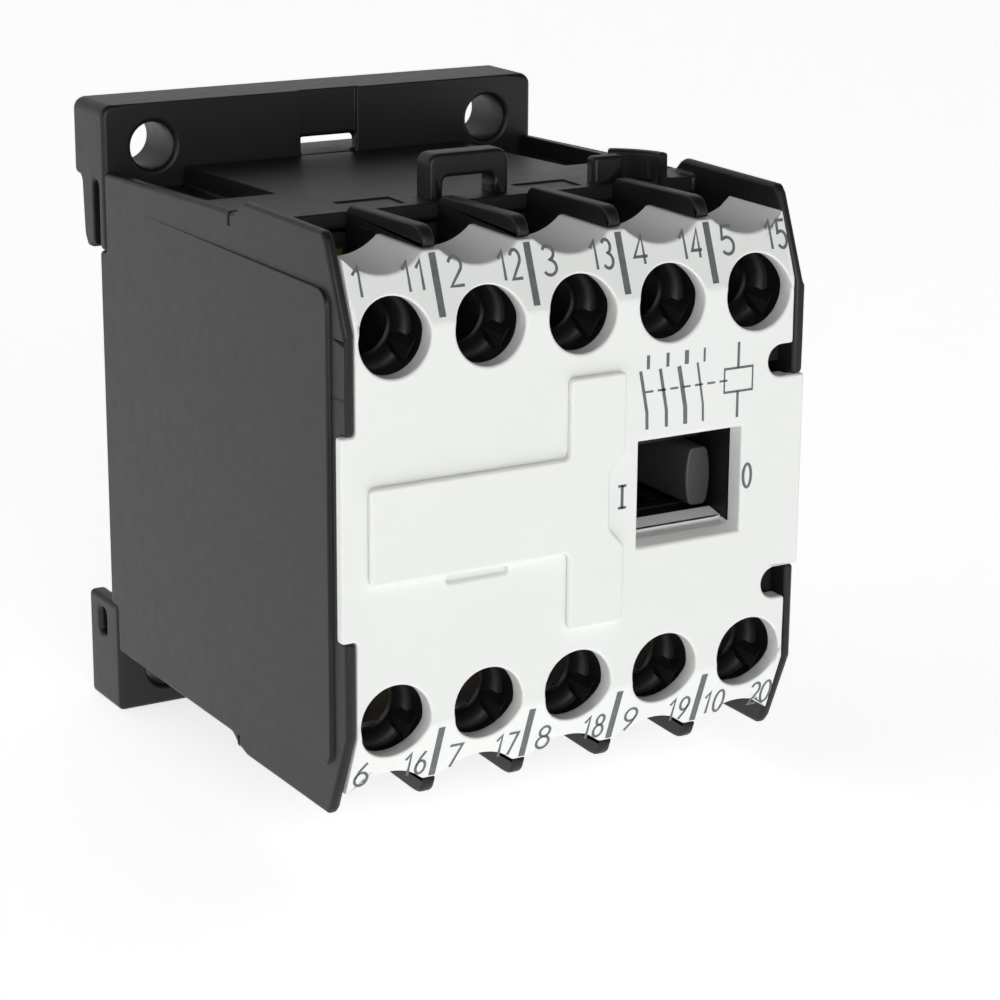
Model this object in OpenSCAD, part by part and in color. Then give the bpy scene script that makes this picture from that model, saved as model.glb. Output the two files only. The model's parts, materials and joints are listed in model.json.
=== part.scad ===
// Miniature four-pole contactor for a 35 mm rail or four screws.
// X runs to the right, Y runs back towards the rail, Z runs up. The origin is the centre of the
// four fixing screws, on the plane that the device is fastened to.

/* [Overall] */
// Width over the side walls
body_w = 45; // [44:0.5:56]
// Depth from the fixing plane to the flat front of the cover
body_d = 53.2; // [51:0.1:64]
// Height of the base with its flange and foot
base_h = 58; // [56:0.5:72]
// Height of the housing's centre above the centre of the fixing screws
housing_rise = 0.45; // [0:0.05:0.8]
// Thickness of the housing's side walls
side_wall = 1.3; // [1:0.1:1.6]

/* [Base plate] */
// Thickness of the flange and the foot, front to back
flange_t = 6.9; // [6:0.1:7.5]
// Height of the flange
flange_h = 7.1; // [6.5:0.1:7.5]
// Height of the foot
foot_h = 10.5; // [9.5:0.1:11]
// Gap between the fixing plane and the body where the rail runs
rail_depth = 5.4; // [5:0.1:5.8]
// Horizontal distance between fixing screws
fix_dx = 35; // [33:0.5:36]
// Vertical distance between fixing screws
fix_dz = 50; // [49:0.5:51]
// Radius of a fixing hole
fix_r = 2.15; // [1.8:0.05:2.3]
// Clear width of the groove that takes the rail's lip
lip_gap = 1.2; // [1.1:0.05:1.5]
// Length of a hook finger below the flange
hook_len = 6.3; // [5:0.1:6.8]
// Width of a hook finger
hook_w = 8; // [6:0.5:9]

/* [Housing] */
// Half height of the housing at its front
front_half = 24.6; // [24.2:0.1:25.4]
// Half height of the decks behind the terminals
deck_half = 23.35; // [23:0.05:23.7]
// Half height of the flat middle of the front
bend_half = 16.8; // [16.4:0.1:17.6]
// How far the sloping ends of the front go back
slope_back = 3; // [2:0.1:3.6]
// Depth of the terminal shafts behind the deck's front edge
shaft_d = 15.6; // [15:0.1:16.4]
// Thickness of the decks
deck_t = 1.5; // [1.2:0.1:1.8]
// Thickness of the walls between the poles
pole_wall = 1.4; // [1.1:0.1:1.6]
// Thickness of those walls' crests above the decks
crest_w = 1.2; // [0.8:0.1:1.3]

/* [Cover] */
// Thickness of the front cover
cover_t = 1.8; // [1.5:0.1:2]
// Height of the terminal screws above the middle
row_half = 16.15; // [16:0.05:16.6]
// Radius of a screwdriver hole
driver_r = 3.25; // [3:0.05:3.35]
// Depth of the scalloped wire guide
guide_d = 7.9; // [6:0.1:8]
// Half height of the scalloped rim
rim_half = 22.5; // [22.3:0.05:22.7]
// Half height of the tabs that reach over the side walls
tab_half = 8.6; // [7.5:0.1:9]
// Thickness of the label plate
label_t = 0.7; // [0.4:0.1:1]

/* [Motion] */
// Travel of the contact carrier
travel = 3.2; // [2.6:0.1:3.4]
// Part of the travel after the contacts have met
overtravel = 0.8; // [0.5:0.05:0.9]
// Clearance left between closed contacts and at the closed magnet
closed_gap = 0.05; // [0.03:0.01:0.1]
// Radial running clearance of pins and screws
run_gap = 0.05; // [0.03:0.01:0.08]
// Sliding clearance of the carrier in the housing
slide_gap = 0.3; // [0.25:0.05:0.4]
// How far a terminal screw backs out
screw_lift = 2.5; // [2:0.1:2.6]

/* [Magnet] */
// Length of the core along the travel
core_l = 26.5; // [25.5:0.1:27]
// Thickness of the core's stack of laminations
stack_t = 9; // [7:0.5:9.5]
// Half height of the core
core_half = 19; // [18:0.1:19.2]
// Height of the core's outer legs
leg_h = 3.25; // [3:0.05:3.4]
// Height of the core's middle leg
mid_leg_h = 7; // [6:0.1:7.4]
// Thickness of the armature
armature_t = 3.75; // [3.2:0.05:4]

/* [Hidden] */
poles = 5;
contacts = 4;
fine = 48;
seat_gap = 0.1;

// Pole pitch follows from the width: five cells and four walls between the side walls.
inner_w = body_w - 2 * side_wall;
pitch = (inner_w + pole_wall) / poles;
cell_w = pitch - pole_wall;
function pole_x(i) = (i - (poles - 1) / 2) * pitch;
function wall_x(i) = (i - poles / 2 + 1) * pitch;

// Heights on the housing are counted from its own middle.
function up(z) = housing_rise + z;
slope = slope_back / (front_half - bend_half);
front_y = -body_d;
back_of_cover_y = front_y + cover_t;
function slope_y(z) = front_y + max(0, abs(z) - bend_half) * slope;

base_top = base_h / 2;
flange_low = base_top - flange_h;
foot_top = -base_h / 2 + foot_h;
hook_tip = flange_low - hook_len;
rail_h = 35;
rail_floor = -rail_h / 2 - seat_gap;
catch_top = -rail_h / 2 + 1.6;
deck_front_y = front_y + shaft_d;
deck_drop = 0.85;
deck_flat_y = -30;

// Terminals
plate_t = 1;
plate_w = 6;
back_wall_t = 1.1;
back_wall_y = deck_front_y + seat_gap;
plate_y = back_wall_y;
washer_t = 0.9;
washer_w = 5.6;
screw_r = 1.7;
head_r = 2.75;
head_h = 2.2;
shank_l = 6.9;
plate_low = 11;
plate_high = 20.5;
floor_low = 9.5;
leg_w = 0.8;
leg_x = -plate_w / 2;
tip_r = 1.3;
tip_h = 0.6;
tip_z = 7.1;
shoulder_half = 19.75;

// Contact carrier
contact_y = plate_y + 4.3;
rail_in = 2;
rail_w = 2.2;
carrier_half = 3;
bridge_w = 3.2;
bridge_t = 0.8;
bridge_half = 8.6;
bridge_tip_h = 0.5;
contact_gap = travel - overtravel + closed_gap;
bridge_x = leg_x + leg_w + tip_h + contact_gap + bridge_tip_h;
bay_w = 4.97;
carrier_left = -inner_w / 2 + travel + slide_gap;
carrier_right = pole_x(contacts - 1) + bridge_x + bay_w + 1.5;
carrier_front = contact_y - rail_in - rail_w;
carrier_back = contact_y + rail_in + rail_w;

// Magnet
core_left = -20.5;
core_face = core_left + core_l;
core_back = -12.5;
core_front = core_back - stack_t;
yoke_w = 4;
armature_x = core_face + travel + closed_gap;
mid_plate_y = -26.3;
mid_plate_t = 1.2;
arm_x = armature_x + armature_t;
arm_w = 2.2;
arm_half = 5.9;
cheek_t = 1.6;
cheek_half = 2.8;
pin_r = 1.4;
bobbin_left = core_left + yoke_w + 0.1;
bobbin_right = core_face - 1.5;
bobbin_half = 15.4;
bobbin_front = mid_plate_y + 0.3;
bobbin_back = -8;
bobbin_flange = 1.4;
spring_z = 4.6;
spring_y = -24.5;
cushion_t = 1;

// Window of the position indicator
window_right = pole_x(contacts - 1) + 7.34;
window_left = window_right - 10.5;
window_half = 4.75;
window_back_half = 3.5;
window_back_y = front_y + 4.6;
guide_y = front_y + 6.6;
guide_t = 1;
slider_w = 2.5;
slider_x = window_right - 2.8;
slider_half = 2.6;
slider_drop = 0.6;
slider_y = front_y + 4.2;
slider_peg = 1.2;

// Label plate
label_left = -20.2;
label_right = 3.9;
label_rise = 0.2;
stem_left = -1.5;
arm_label_half = 4.1;
stem_half = 10.9;
peg_r = 0.8;

black = [0.13, 0.13, 0.135];
dark = [0.2, 0.2, 0.21];
pale = [0.93, 0.94, 0.93];
copper = [0.75, 0.45, 0.28];
brass = [0.78, 0.66, 0.36];
silver = [0.85, 0.85, 0.83];
steel = [0.55, 0.56, 0.58];

function numbered(name, count) = [for (i = [1:count]) str(name, i)];

// A box between two opposite corners.
module block(a, b) {
    translate([min(a.x, b.x), min(a.y, b.y), min(a.z, b.z)])
        cube([abs(a.x - b.x), abs(a.y - b.y), abs(a.z - b.z)]);
}

// An outline of (y, z) points, extruded along X.
module side_profile(x, width) {
    translate([x, 0, 0]) rotate([90, 0, 90]) linear_extrude(width) children();
}

// An outline of (x, z) points, extruded forward from a plane.
module front_profile(y, depth) {
    translate([0, y, 0]) rotate([90, 0, 0]) linear_extrude(depth) children();
}

// A round bar along Y, from a plane forward.
module y_bar(x, y, z, r, length) {
    translate([x, y, z]) rotate([90, 0, 0]) cylinder(r = r, h = length, $fn = fine);
}

// A round bar along X.
module x_bar(x, y, z, r, length) {
    translate([x, y, z]) rotate([0, 90, 0]) cylinder(r = r, h = length, $fn = fine);
}

// Copies its children above and below the housing's middle.
module both_ends() {
    for (s = [1, -1]) translate([0, 0, housing_rise]) scale_z(s) children();
}

module scale_z(s) {
    if (s > 0) children();
    else mirror([0, 0, 1]) children();
}

// Corner points of a rectangle with rounded corners.
function rounded(x0, z0, x1, z1, r, n = 6) = [
    for (c = [[x1 - r, z1 - r, 0], [x0 + r, z1 - r, 90], [x0 + r, z0 + r, 180], [x1 - r, z0 + r, 270]])
        for (k = [0:n]) [c[0] + r * cos(c[2] + 90 * k / n), c[1] + r * sin(c[2] + 90 * k / n)]
];

// ---- Base plate ----

function flange_outline(r, n = 6) = concat(
    [[-body_w / 2, flange_low], [body_w / 2, flange_low]],
    [for (k = [0:n]) [body_w / 2 - r + r * cos(90 * k / n), base_top - r + r * sin(90 * k / n)]],
    [for (k = [0:n]) [-body_w / 2 + r - r * sin(90 * k / n), base_top - r + r * cos(90 * k / n)]]
);

module base_plate() {
    corner_r = 1.1;
    notch_left = -2.5;
    notch_right = 3.4;
    notch_low = flange_low + 1;
    notch_h = 1.6;
    panel_in = 0.35;
    finger_t = 2.4;
    finger_y = -rail_depth + lip_gap;
    color(black) difference() {
        union() {
            front_profile(0, flange_t) polygon(flange_outline(corner_r));
            // Web that closes the back of the housing
            block([-inner_w / 2 + seat_gap, -flange_t, foot_top - 1], [inner_w / 2 - seat_gap, -rail_depth, flange_low + 1]);
            block([-body_w / 2, -flange_t, hook_tip], [body_w / 2, -rail_depth, flange_low + 1]);
            for (s = [-1, 1]) hook_finger(s, finger_y, finger_t);
            foot();
            for (x = [core_left, core_face - yoke_w], z = [-1, 1]) core_post(x, z);
        }
        for (x = [-1, 1], z = [-1, 1])
            y_bar(x * fix_dx / 2, 1, z * fix_dz / 2, fix_r, flange_t + 2);
        block([notch_left, 1, notch_low], [notch_right, -flange_t - 1, notch_low + notch_h]);
        block([notch_left, 1, notch_low], [notch_right + 3.6, -flange_t + 1.5, notch_low + notch_h]);
        block([notch_left, -flange_t + panel_in, notch_low], [notch_right, -flange_t - 1, base_top + 1]);
        // Sight holes in the ends of the foot
        for (s = [-1, 1])
            block([s * (body_w / 2 - 3), -3.9, foot_top - 3.7], [s * (body_w / 2 + 1), -2.4, foot_top - 1.2]);
    }
}

module hook_finger(s, y, t) {
    outer = s * body_w / 2;
    inner = s * (body_w / 2 - hook_w);
    side_profile(min(outer, inner), hook_w)
        polygon([[y, flange_low + 1], [y, hook_tip + 0.3], [y + 0.3, hook_tip], [y + t - 0.6, hook_tip],
                 [y + t, hook_tip + 0.9], [y + t + 0.4, flange_low + 1]]);
}

module foot() {
    wall = 1.7;
    low = -base_h / 2;
    boss_r = 4;
    lug_half = 9;
    lug_y = -rail_depth + lip_gap;
    lug_t = 2.2;
    block([-body_w / 2, -flange_t, low], [body_w / 2, -rail_depth + 0.2, foot_top]);
    block([-body_w / 2, -flange_t, low], [body_w / 2, 0, low + wall]);
    for (s = [-1, 1]) {
        block([s * body_w / 2, -flange_t, low], [s * (body_w / 2 - wall), 0, foot_top]);
        y_bar(s * fix_dx / 2, 0, -fix_dz / 2, boss_r - 0.1, flange_t - 0.5);
        // Ribs that carry the fixed catch behind the rail's lower lip
        block([s * lug_half, -rail_depth, low + wall - 0.5], [s * (lug_half - 1.2), lug_y + lug_t, rail_floor]);
    }
    side_profile(-lug_half, 2 * lug_half)
        polygon([[lug_y, low + wall - 0.5], [lug_y, catch_top - 0.7], [lug_y + 0.7, catch_top],
                 [lug_y + lug_t, catch_top - 1.7], [lug_y + lug_t, low + wall - 0.5]]);
}

// A post on the web that carries one corner of the core on its cushion.
module core_post(x, end) {
    z_mid = up(end * (core_half - leg_h / 2));
    block([x, -rail_depth - 0.1, z_mid - leg_h / 2], [x + yoke_w, core_back + cushion_t, z_mid + leg_h / 2]);
}

module core_cushions() {
    color(black) for (x = [core_left, core_face - yoke_w], end = [-1, 1]) {
        z_mid = up(end * (core_half - leg_h / 2));
        block([x + 0.2, core_back, z_mid - leg_h / 2 + 0.2],
              [x + yoke_w - 0.2, core_back + cushion_t, z_mid + leg_h / 2 - 0.2]);
    }
}

// Bowed leaf under the flange that loads the rail's upper lip.
module rail_spring() {
    leaf_t = 0.4;
    leaf_half = body_w / 2 - hook_w - 1;
    bow = flange_low - rail_h / 2 - seat_gap;
    bow_r = (leaf_half * leaf_half + bow * bow) / (2 * bow);
    leaf_front = -rail_depth + 0.3;
    leaf_w = 4.2;
    color(steel) intersection() {
        translate([0, leaf_front + leaf_w, flange_low - bow + bow_r]) rotate([90, 0, 0]) difference() {
            cylinder(r = bow_r, h = leaf_w, $fn = 96);
            translate([0, 0, -1]) cylinder(r = bow_r - leaf_t, h = leaf_w + 2, $fn = 96);
        }
        block([-leaf_half - 2, leaf_front, flange_low], [leaf_half + 2, leaf_front + leaf_w, flange_low - bow - 1]);
    }
}

// ---- Housing shell ----

side_outline = [
    [-flange_t, up(deck_half) - deck_drop], [deck_flat_y, up(deck_half)], [deck_front_y + 3.6, up(deck_half)],
    [deck_front_y + 2.6, up(front_half) - 0.3], [deck_front_y + 2, up(front_half)],
    [slope_y(front_half) - 0.7 + 1.3, up(front_half)], [slope_y(front_half) - 0.0, up(front_half) - 0.7],
    [front_y, up(bend_half)], [front_y, up(-bend_half)],
    [slope_y(front_half) - 0.0, up(-front_half) + 0.7], [slope_y(front_half) + 0.6, up(-front_half)],
    [deck_front_y + 3.2, up(-front_half)], [deck_front_y + 5, up(-front_half) + 0.5],
    [deck_front_y + 6, up(-deck_half)], [-flange_t, up(-deck_half)],
    [-flange_t, foot_top], [-rail_depth, foot_top], [-rail_depth, hook_tip], [-flange_t, hook_tip]
];

pocket_x = 14.6;
pocket_y = -27;
pocket_floor = up(deck_half) - 2.6;

module housing_shell() {
    panel_in = 0.35;
    panel_back_y = -14.6;
    panel_front_y = front_y + 2.4;
    panel_half = 20.1;
    slit_y = deck_front_y + 4.9;
    strip_in = 0.15;
    color(black) difference() {
        union() {
            for (x = [-body_w / 2, inner_w / 2]) side_profile(x, side_wall) polygon(side_outline);
            top_deck();
            block([-inner_w / 2 - 0.5, -flange_t, up(-deck_half)],
                  [inner_w / 2 + 0.5, deck_front_y, up(-deck_half) + deck_t]);
            loop_bracket();
            curved_tab();
        }
        for (s = [-1, 1]) {
            // Shallow tapering panel on the outside of each wall
            intersection() {
                translate([0, 0, up(-panel_half)]) linear_extrude(2 * panel_half)
                    polygon([[s * (body_w / 2 + 1), panel_back_y], [s * body_w / 2, panel_back_y],
                             [s * (body_w / 2 - panel_in), panel_front_y], [s * (body_w / 2 + 1), panel_front_y]]);
                side_profile(s * body_w / 2 - 2, 4)
                    polygon(rounded(panel_front_y, up(-panel_half), panel_back_y + 3, up(panel_half), 1.5));
            }
            // Joint lines of the moulding across the strip in front of the panel
            for (z = [11.5, 16.2])
                block([s * (body_w / 2 + 1), front_y - 1, up(z)], [s * (body_w / 2 - 0.12), panel_front_y - 0.4, up(z) + 0.15]);
            // Seats for the cover's wrap-around tabs
            block([s * (body_w / 2 + 1), front_y - 1, up(-tab_half)], [s * (inner_w / 2 - 1), front_y + 1, up(tab_half)]);
            for (z = [up(deck_half) - 1.2, up(-front_half) - 0.3])
                block([s * (body_w / 2 + 1), slit_y, z], [s * (inner_w / 2 - 1), slit_y - 0.3, z + 1.6]);
        }
    }
}

module top_deck() {
    deck_left = -inner_w / 2 - 0.5;
    deck_w = inner_w + 1;
    color(black) {
        difference() {
            side_profile(deck_left, deck_w)
                polygon([[-flange_t, up(deck_half) - deck_drop], [deck_flat_y, up(deck_half)], [deck_front_y, up(deck_half)],
                         [deck_front_y, up(deck_half) - deck_t], [deck_flat_y, up(deck_half) - deck_t],
                         [-flange_t, up(deck_half) - deck_drop - deck_t]]);
            for (s = [-1, 1])
                block([s * pocket_x, 0, pocket_floor], [s * (inner_w / 2 + 1), pocket_y, up(deck_half) + 1]);
            for (i = [0, 2])
                block([wall_x(i) + 0.3, deck_front_y + 1.1, up(deck_half) - 0.15],
                      [wall_x(i) + 5.7, deck_front_y + 4.4, up(deck_half) + 1]);
        }
        // Sunk pockets beside the flange
        for (s = [-1, 1]) {
            block([s * (pocket_x - 1), -flange_t, pocket_floor - 1], [s * (inner_w / 2 + 0.5), pocket_y - 1, pocket_floor]);
            block([s * (pocket_x - 1), -flange_t, pocket_floor - 1], [s * pocket_x, pocket_y - 1, up(deck_half) - deck_drop - 0.5]);
            block([s * (pocket_x - 1), pocket_y, pocket_floor - 1], [s * (inner_w / 2 + 0.5), pocket_y - 1, up(deck_half) - 0.2]);
        }
    }
}

// Loop on the deck that takes a marker or a lead.
module loop_bracket() {
    left = -5;
    right = 2.9;
    top = up(deck_half) + 3.8;
    loop_left = -3.5;
    loop_right = 1.4;
    loop_h = 1.7;
    r = 1;
    y = deck_front_y + 4;
    difference() {
        front_profile(y, 2.4)
            polygon(concat([[left, up(deck_half) - 0.5], [right, up(deck_half) - 0.5]],
                [for (k = [0:5]) [right - r + r * cos(18 * k), top - r + r * sin(18 * k)]],
                [for (k = [0:5]) [left + r - r * sin(18 * k), top - r + r * cos(18 * k)]]));
        block([loop_left, y + 1, up(deck_half)], [loop_right, y - 4, up(deck_half) + loop_h]);
    }
}

// Curved upstand behind the right-hand terminal shafts.
module curved_tab() {
    x = pole_x(poles - 1) - 6.1;
    y = deck_front_y - 1.4;
    outer_r = 7.1;
    wall = 1.2;
    top = up(deck_half) + 2.4;
    foot_z = up(deck_half) - 0.5;
    intersection() {
        translate([x, y, foot_z]) difference() {
            cylinder(r = outer_r, h = top - foot_z, $fn = 64);
            translate([0, 0, -1]) cylinder(r = outer_r - wall, h = top - foot_z + 2, $fn = 64);
        }
        translate([x, y, foot_z - 1]) linear_extrude(top - foot_z + 2)
            polygon([[0, 0], [20, 4.3], [20, 20], [11.5, 20]]);
    }
    block([x + 0.2, y + 3, foot_z], [x + 3.3, y + 4.5, top - 0.2]);
}

// ---- Contact block: walls between the poles, terminal shafts and guides ----

wall_back_y = deck_front_y - seat_gap;
guide_back_y = slope_y(rim_half) + guide_d + seat_gap;

function wall_outline(clear = 0.2) = let(
    low_y = back_of_cover_y + clear,
    half_in = deck_half - deck_t - 2 * seat_gap
) [
    [mid_plate_y - mid_plate_t, 0], [mid_plate_y - mid_plate_t, half_in],
    [wall_back_y, half_in], [wall_back_y, rim_half], [guide_back_y, rim_half],
    [guide_back_y, shoulder_half - seat_gap], [slope_y(shoulder_half) + cover_t + clear, shoulder_half - seat_gap],
    [low_y, bend_half], [low_y, 0]
];

// Thinner crest of a wall, which runs forward over the cover's rim and ends in a round nose.
function crest_outline(r = 1.4, n = 6) = let(
    nose_y = slope_y(rim_half) + 0.3,
    top = front_half - 0.3,
    low = rim_half + seat_gap
) [
    [guide_back_y, shoulder_half], [wall_back_y, shoulder_half],
    [wall_back_y, top - 0.6], [wall_back_y - 0.3, top - 0.3],
    for (k = [0:n]) [nose_y + r - r * sin(90 * k / n), top - r + r * cos(90 * k / n)],
    [nose_y + 0.2, low], [guide_back_y, low]
];

module contact_block() {
    guard_t = 4.5;
    half_in = deck_half - deck_t - 2 * seat_gap;
    wide = inner_w / 2 - seat_gap;
    color(dark) difference() {
        union() {
            for (i = [0:poles - 2]) both_ends() {
                side_profile(wall_x(i) - pole_wall / 2, pole_wall) polygon(wall_outline());
                side_profile(wall_x(i) - crest_w / 2, crest_w) polygon(crest_outline());
            }
            both_ends() {
                // Back wall and floor of the terminal shafts
                block([-wide, back_wall_y, floor_low], [wide, back_wall_y + back_wall_t, half_in]);
                block([-wide, back_wall_y + 0.5, floor_low], [wide, back_of_cover_y + 0.2, floor_low + 1]);
                // Screwdriver guides
                side_profile(-wide, 2 * wide)
                    polygon([[back_of_cover_y + 0.2, floor_low], [back_of_cover_y + 0.2, bend_half],
                             [slope_y(shoulder_half) + cover_t + 0.2, shoulder_half - seat_gap],
                             [back_of_cover_y + guard_t, shoulder_half - seat_gap], [back_of_cover_y + guard_t, floor_low]]);
                // Ribs that hold the core on its cushions
                for (x = [core_left, core_face - yoke_w])
                    block([x + 0.5, mid_plate_y - 0.5, core_half - leg_h + 0.4],
                          [x + yoke_w - groove_d - 0.2, core_front, core_half - 0.4]);
                // Plate between the contacts and the magnet
                block([-wide, mid_plate_y - mid_plate_t, -0.1], [wide, mid_plate_y, half_in]);
            }
            indicator_box();
        }
        both_ends() for (i = [0:poles - 1]) terminal_cuts(i);
        carrier_cuts();
        // Corners below the deck's sunk pockets
        for (s = [-1, 1])
            block([s * (pocket_x - 1 - seat_gap), mid_plate_y + 1, pocket_floor - 1 - seat_gap],
                  [s * inner_w, pocket_y - 1 - seat_gap, base_top]);
    }
}

// Everything that is cut for one terminal, with its centre at the pole's own middle.
module terminal_cuts(i) translate([pole_x(i), 0, 0]) {
    leg_low = i < contacts ? 5 : 7.6;
    leg_high = i < contacts ? 9.2 : 10.2;
    leg_back = i < contacts ? contact_y + 3 : bobbin_front + 2;
    y_bar(0, back_of_cover_y + 12, row_half, driver_r + 0.1, 13);
    y_bar(0, back_wall_y + 4, row_half, screw_r + 0.4, 6);
    // Slot for the contact's lower end
    block([leg_x - 0.15, back_wall_y + 0.05, floor_low - 0.5], [leg_x + 2.15, plate_y - plate_t - 0.15, plate_low]);
    block([leg_x - 0.15, leg_back, leg_low - 0.15], [leg_x + leg_w + 0.15, back_wall_y - 1, leg_high + 0.15]);
}

// Hollow box that guides the indicator behind its window.
module indicator_box() {
    wall = 1;
    half = window_half + 1.9;
    block([window_left - wall, back_of_cover_y + 0.2, up(-half)],
          [window_right + wall, guide_y + guide_t, up(half)]);
}

module carrier_cuts() {
    side = slide_gap;
    slot_half = slider_half + side;
    // The carrier, its bridges and its arm
    block([-inner_w, carrier_front - side, up(-carrier_half - side)],
          [carrier_right + side, carrier_back + side, up(carrier_half + side)]);
    block([arm_x - travel - side, carrier_front, up(-arm_half - side)],
          [arm_x + arm_w + side, core_back, up(arm_half + side)]);
    // Room behind the window
    block([window_left, front_y - 1, up(-window_half - 1)], [window_right, window_back_y, up(window_half + 1)]);
    block([window_left, window_back_y - 1, up(-window_back_half - 0.2)],
          [window_right, guide_y, up(window_back_half + 0.2)]);
    block([slider_x - travel - side, front_y, up(-slider_drop - slot_half)],
          [window_right, carrier_front, up(-slider_drop + slot_half)]);
}

// ---- Front cover ----

cover_outline = let(rim_y = slope_y(rim_half)) [
    [front_y, bend_half], [rim_y, rim_half], [rim_y + guide_d, rim_half], [rim_y + guide_d, shoulder_half],
    [slope_y(shoulder_half) + cover_t, shoulder_half], [back_of_cover_y, bend_half],
    [back_of_cover_y, -bend_half], [slope_y(shoulder_half) + cover_t, -shoulder_half],
    [rim_y + guide_d, -shoulder_half], [rim_y + guide_d, -rim_half], [rim_y, -rim_half], [front_y, -bend_half]
];

module front_cover() {
    wide = inner_w / 2 - seat_gap / 2;
    trough_in = 1.45;
    trough_half = cell_w / 2 - 0.1;
    trough_r = (trough_half * trough_half + trough_in * trough_in) / (2 * trough_in);
    notch_r = 1.4;
    notch_x = inner_w / 2 - 2.5 + notch_r;
    notch_z = tab_half + notch_r;
    color(pale) difference() {
        union() {
            translate([0, 0, housing_rise]) side_profile(-wide, 2 * wide) polygon(cover_outline);
            block([-body_w / 2, front_y, up(-tab_half)], [body_w / 2, front_y + 1, up(tab_half)]);
            window_ramps();
        }
        for (i = [0:poles - 1]) both_ends() {
            y_bar(pole_x(i), back_of_cover_y + 2, row_half, driver_r, cover_t + 4);
            y_bar(pole_x(i), front_y + 14, rim_half - trough_in + trough_r, trough_r, 16);
        }
        both_ends() {
            y_bar(notch_x, back_of_cover_y + 1, notch_z, notch_r, cover_t + 2);
            block([notch_x, back_of_cover_y + 1, notch_z - notch_r], [body_w / 2 + 1, front_y - 1, notch_z + notch_r]);
        }
        window_cut();
        // Release slot under the label plate
        block([label_left + 7.3, front_y - 1, up(label_rise - arm_label_half) - 1],
              [label_left + 13.2, front_y + 0.8, up(label_rise - arm_label_half) - 0.4]);
        for (x = label_pegs) y_bar(x, back_of_cover_y + 1, up(label_rise), peg_r + run_gap, cover_t + 2);
    }
}

module window_cut() {
    mid = (window_left + window_right) / 2;
    half_w = (window_right - window_left) / 2;
    front_profile(back_of_cover_y + 1, cover_t + 2)
        polygon(rounded(window_left, up(-window_back_half - 0.8), window_right, up(window_back_half + 0.8), 0.6, 3));
    // Bevelled top and bottom of the window
    side_profile(window_left, 2 * half_w)
        polygon([[front_y - 0.1, up(window_half)], [back_of_cover_y + 0.1, up(window_half - 0.65)],
                 [back_of_cover_y + 0.1, up(-window_half + 0.65)], [front_y - 0.1, up(-window_half)]]);
}

// Sloping floor and ceiling behind the window.
module window_ramps() {
    both_ends() side_profile(window_left + 0.1, window_right - window_left - 0.2)
        polygon([[back_of_cover_y - 0.3, window_half - 0.55], [window_back_y, window_back_half],
                 [window_back_y, window_back_half + 1], [back_of_cover_y - 0.3, window_half + 0.6]]);
}

label_pegs = [label_left + 4, label_right - 2.7];

module label_plate() {
    cut = 1.5;
    waist = 2.5;
    mid = up(label_rise);
    color(pale) {
        front_profile(front_y, label_t)
            polygon([[label_left, mid + arm_label_half], [label_left, mid - arm_label_half],
                     [stem_left, mid - arm_label_half], [stem_left, mid - stem_half],
                     [label_right, mid - stem_half], [label_right, mid - arm_label_half],
                     [label_right - cut, mid - waist], [label_right - cut, mid + waist],
                     [label_right, mid + arm_label_half], [label_right, mid + stem_half],
                     [stem_left, mid + stem_half], [stem_left, mid + arm_label_half]]);
        for (x = label_pegs) y_bar(x, back_of_cover_y, mid, peg_r, cover_t + 0.2);
    }
}

// ---- Moving carrier ----

module contact_carrier() {
    arm_back = core_back + 0.1 + cheek_t;
    color(dark) difference() {
        union() {
            // Two rails joined by a block beside every bridge
            for (y = [carrier_front, carrier_back - rail_w])
                block([carrier_left, y, up(-carrier_half)], [carrier_right, y + rail_w, up(carrier_half)]);
            for (i = [0:contacts]) {
                left = i == 0 ? carrier_left : pole_x(i - 1) + bridge_x + bay_w;
                right = i == contacts ? carrier_right : pole_x(i) + bridge_x;
                block([left, carrier_front + 0.5, up(-carrier_half)], [right, carrier_back - 0.5, up(carrier_half)]);
            }
            // Arm back to the armature, with a cheek on either side of it
            block([arm_x, carrier_back - 0.5, up(-arm_half)], [arm_x + arm_w, arm_back, up(arm_half)]);
            for (y = [core_front - 0.1 - cheek_t, core_back + 0.1])
                block([armature_x, y, up(-cheek_half)], [arm_x + 0.5, y + cheek_t, up(cheek_half)]);
        }
        y_bar(armature_x + armature_t / 2, arm_back + 1, up(0), pin_r + run_gap, stack_t + 2 * cheek_t + 4);
        // Socket for the indicator's peg
        block([slider_x + (slider_w - slider_peg) / 2 - run_gap, carrier_front - 1, up(-slider_drop - 1.5 - run_gap)],
              [slider_x + (slider_w + slider_peg) / 2 + run_gap, carrier_front + 1.5 + run_gap, up(-slider_drop + 1.5 + run_gap)]);
    }
}

module indicator_slider() {
    mid = up(-slider_drop);
    r = 9;
    sag = r - sqrt(r * r - pow(slider_half - 0.3, 2));
    face = [for (k = [-4:4]) let(z = (slider_half - 0.3) * k / 4) [slider_x + (r - sqrt(r * r - z * z)), mid + z]];
    face_right = [for (k = [4:-1:-4]) let(z = (slider_half - 0.3) * k / 4)
        [slider_x + slider_w - (r - sqrt(r * r - z * z)), mid + z]];
    color(dark) {
        front_profile(carrier_front, carrier_front - slider_y)
            polygon(concat([[slider_x + sag + 0.3, mid - slider_half]], face,
                           [[slider_x + sag + 0.3, mid + slider_half], [slider_x + slider_w - sag - 0.3, mid + slider_half]],
                           face_right, [[slider_x + slider_w - sag - 0.3, mid - slider_half]]));
        block([slider_x + (slider_w - slider_peg) / 2, carrier_front - 0.5, mid - 1.5],
              [slider_x + (slider_w + slider_peg) / 2, carrier_front + 1.5, mid + 1.5]);
    }
}

module armature() {
    color(steel) difference() {
        block([armature_x, core_front, up(-core_half)], [arm_x, core_back, up(core_half)]);
        y_bar(armature_x + armature_t / 2, core_back + 1, up(0), pin_r + run_gap, stack_t + 2);
    }
}

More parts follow.
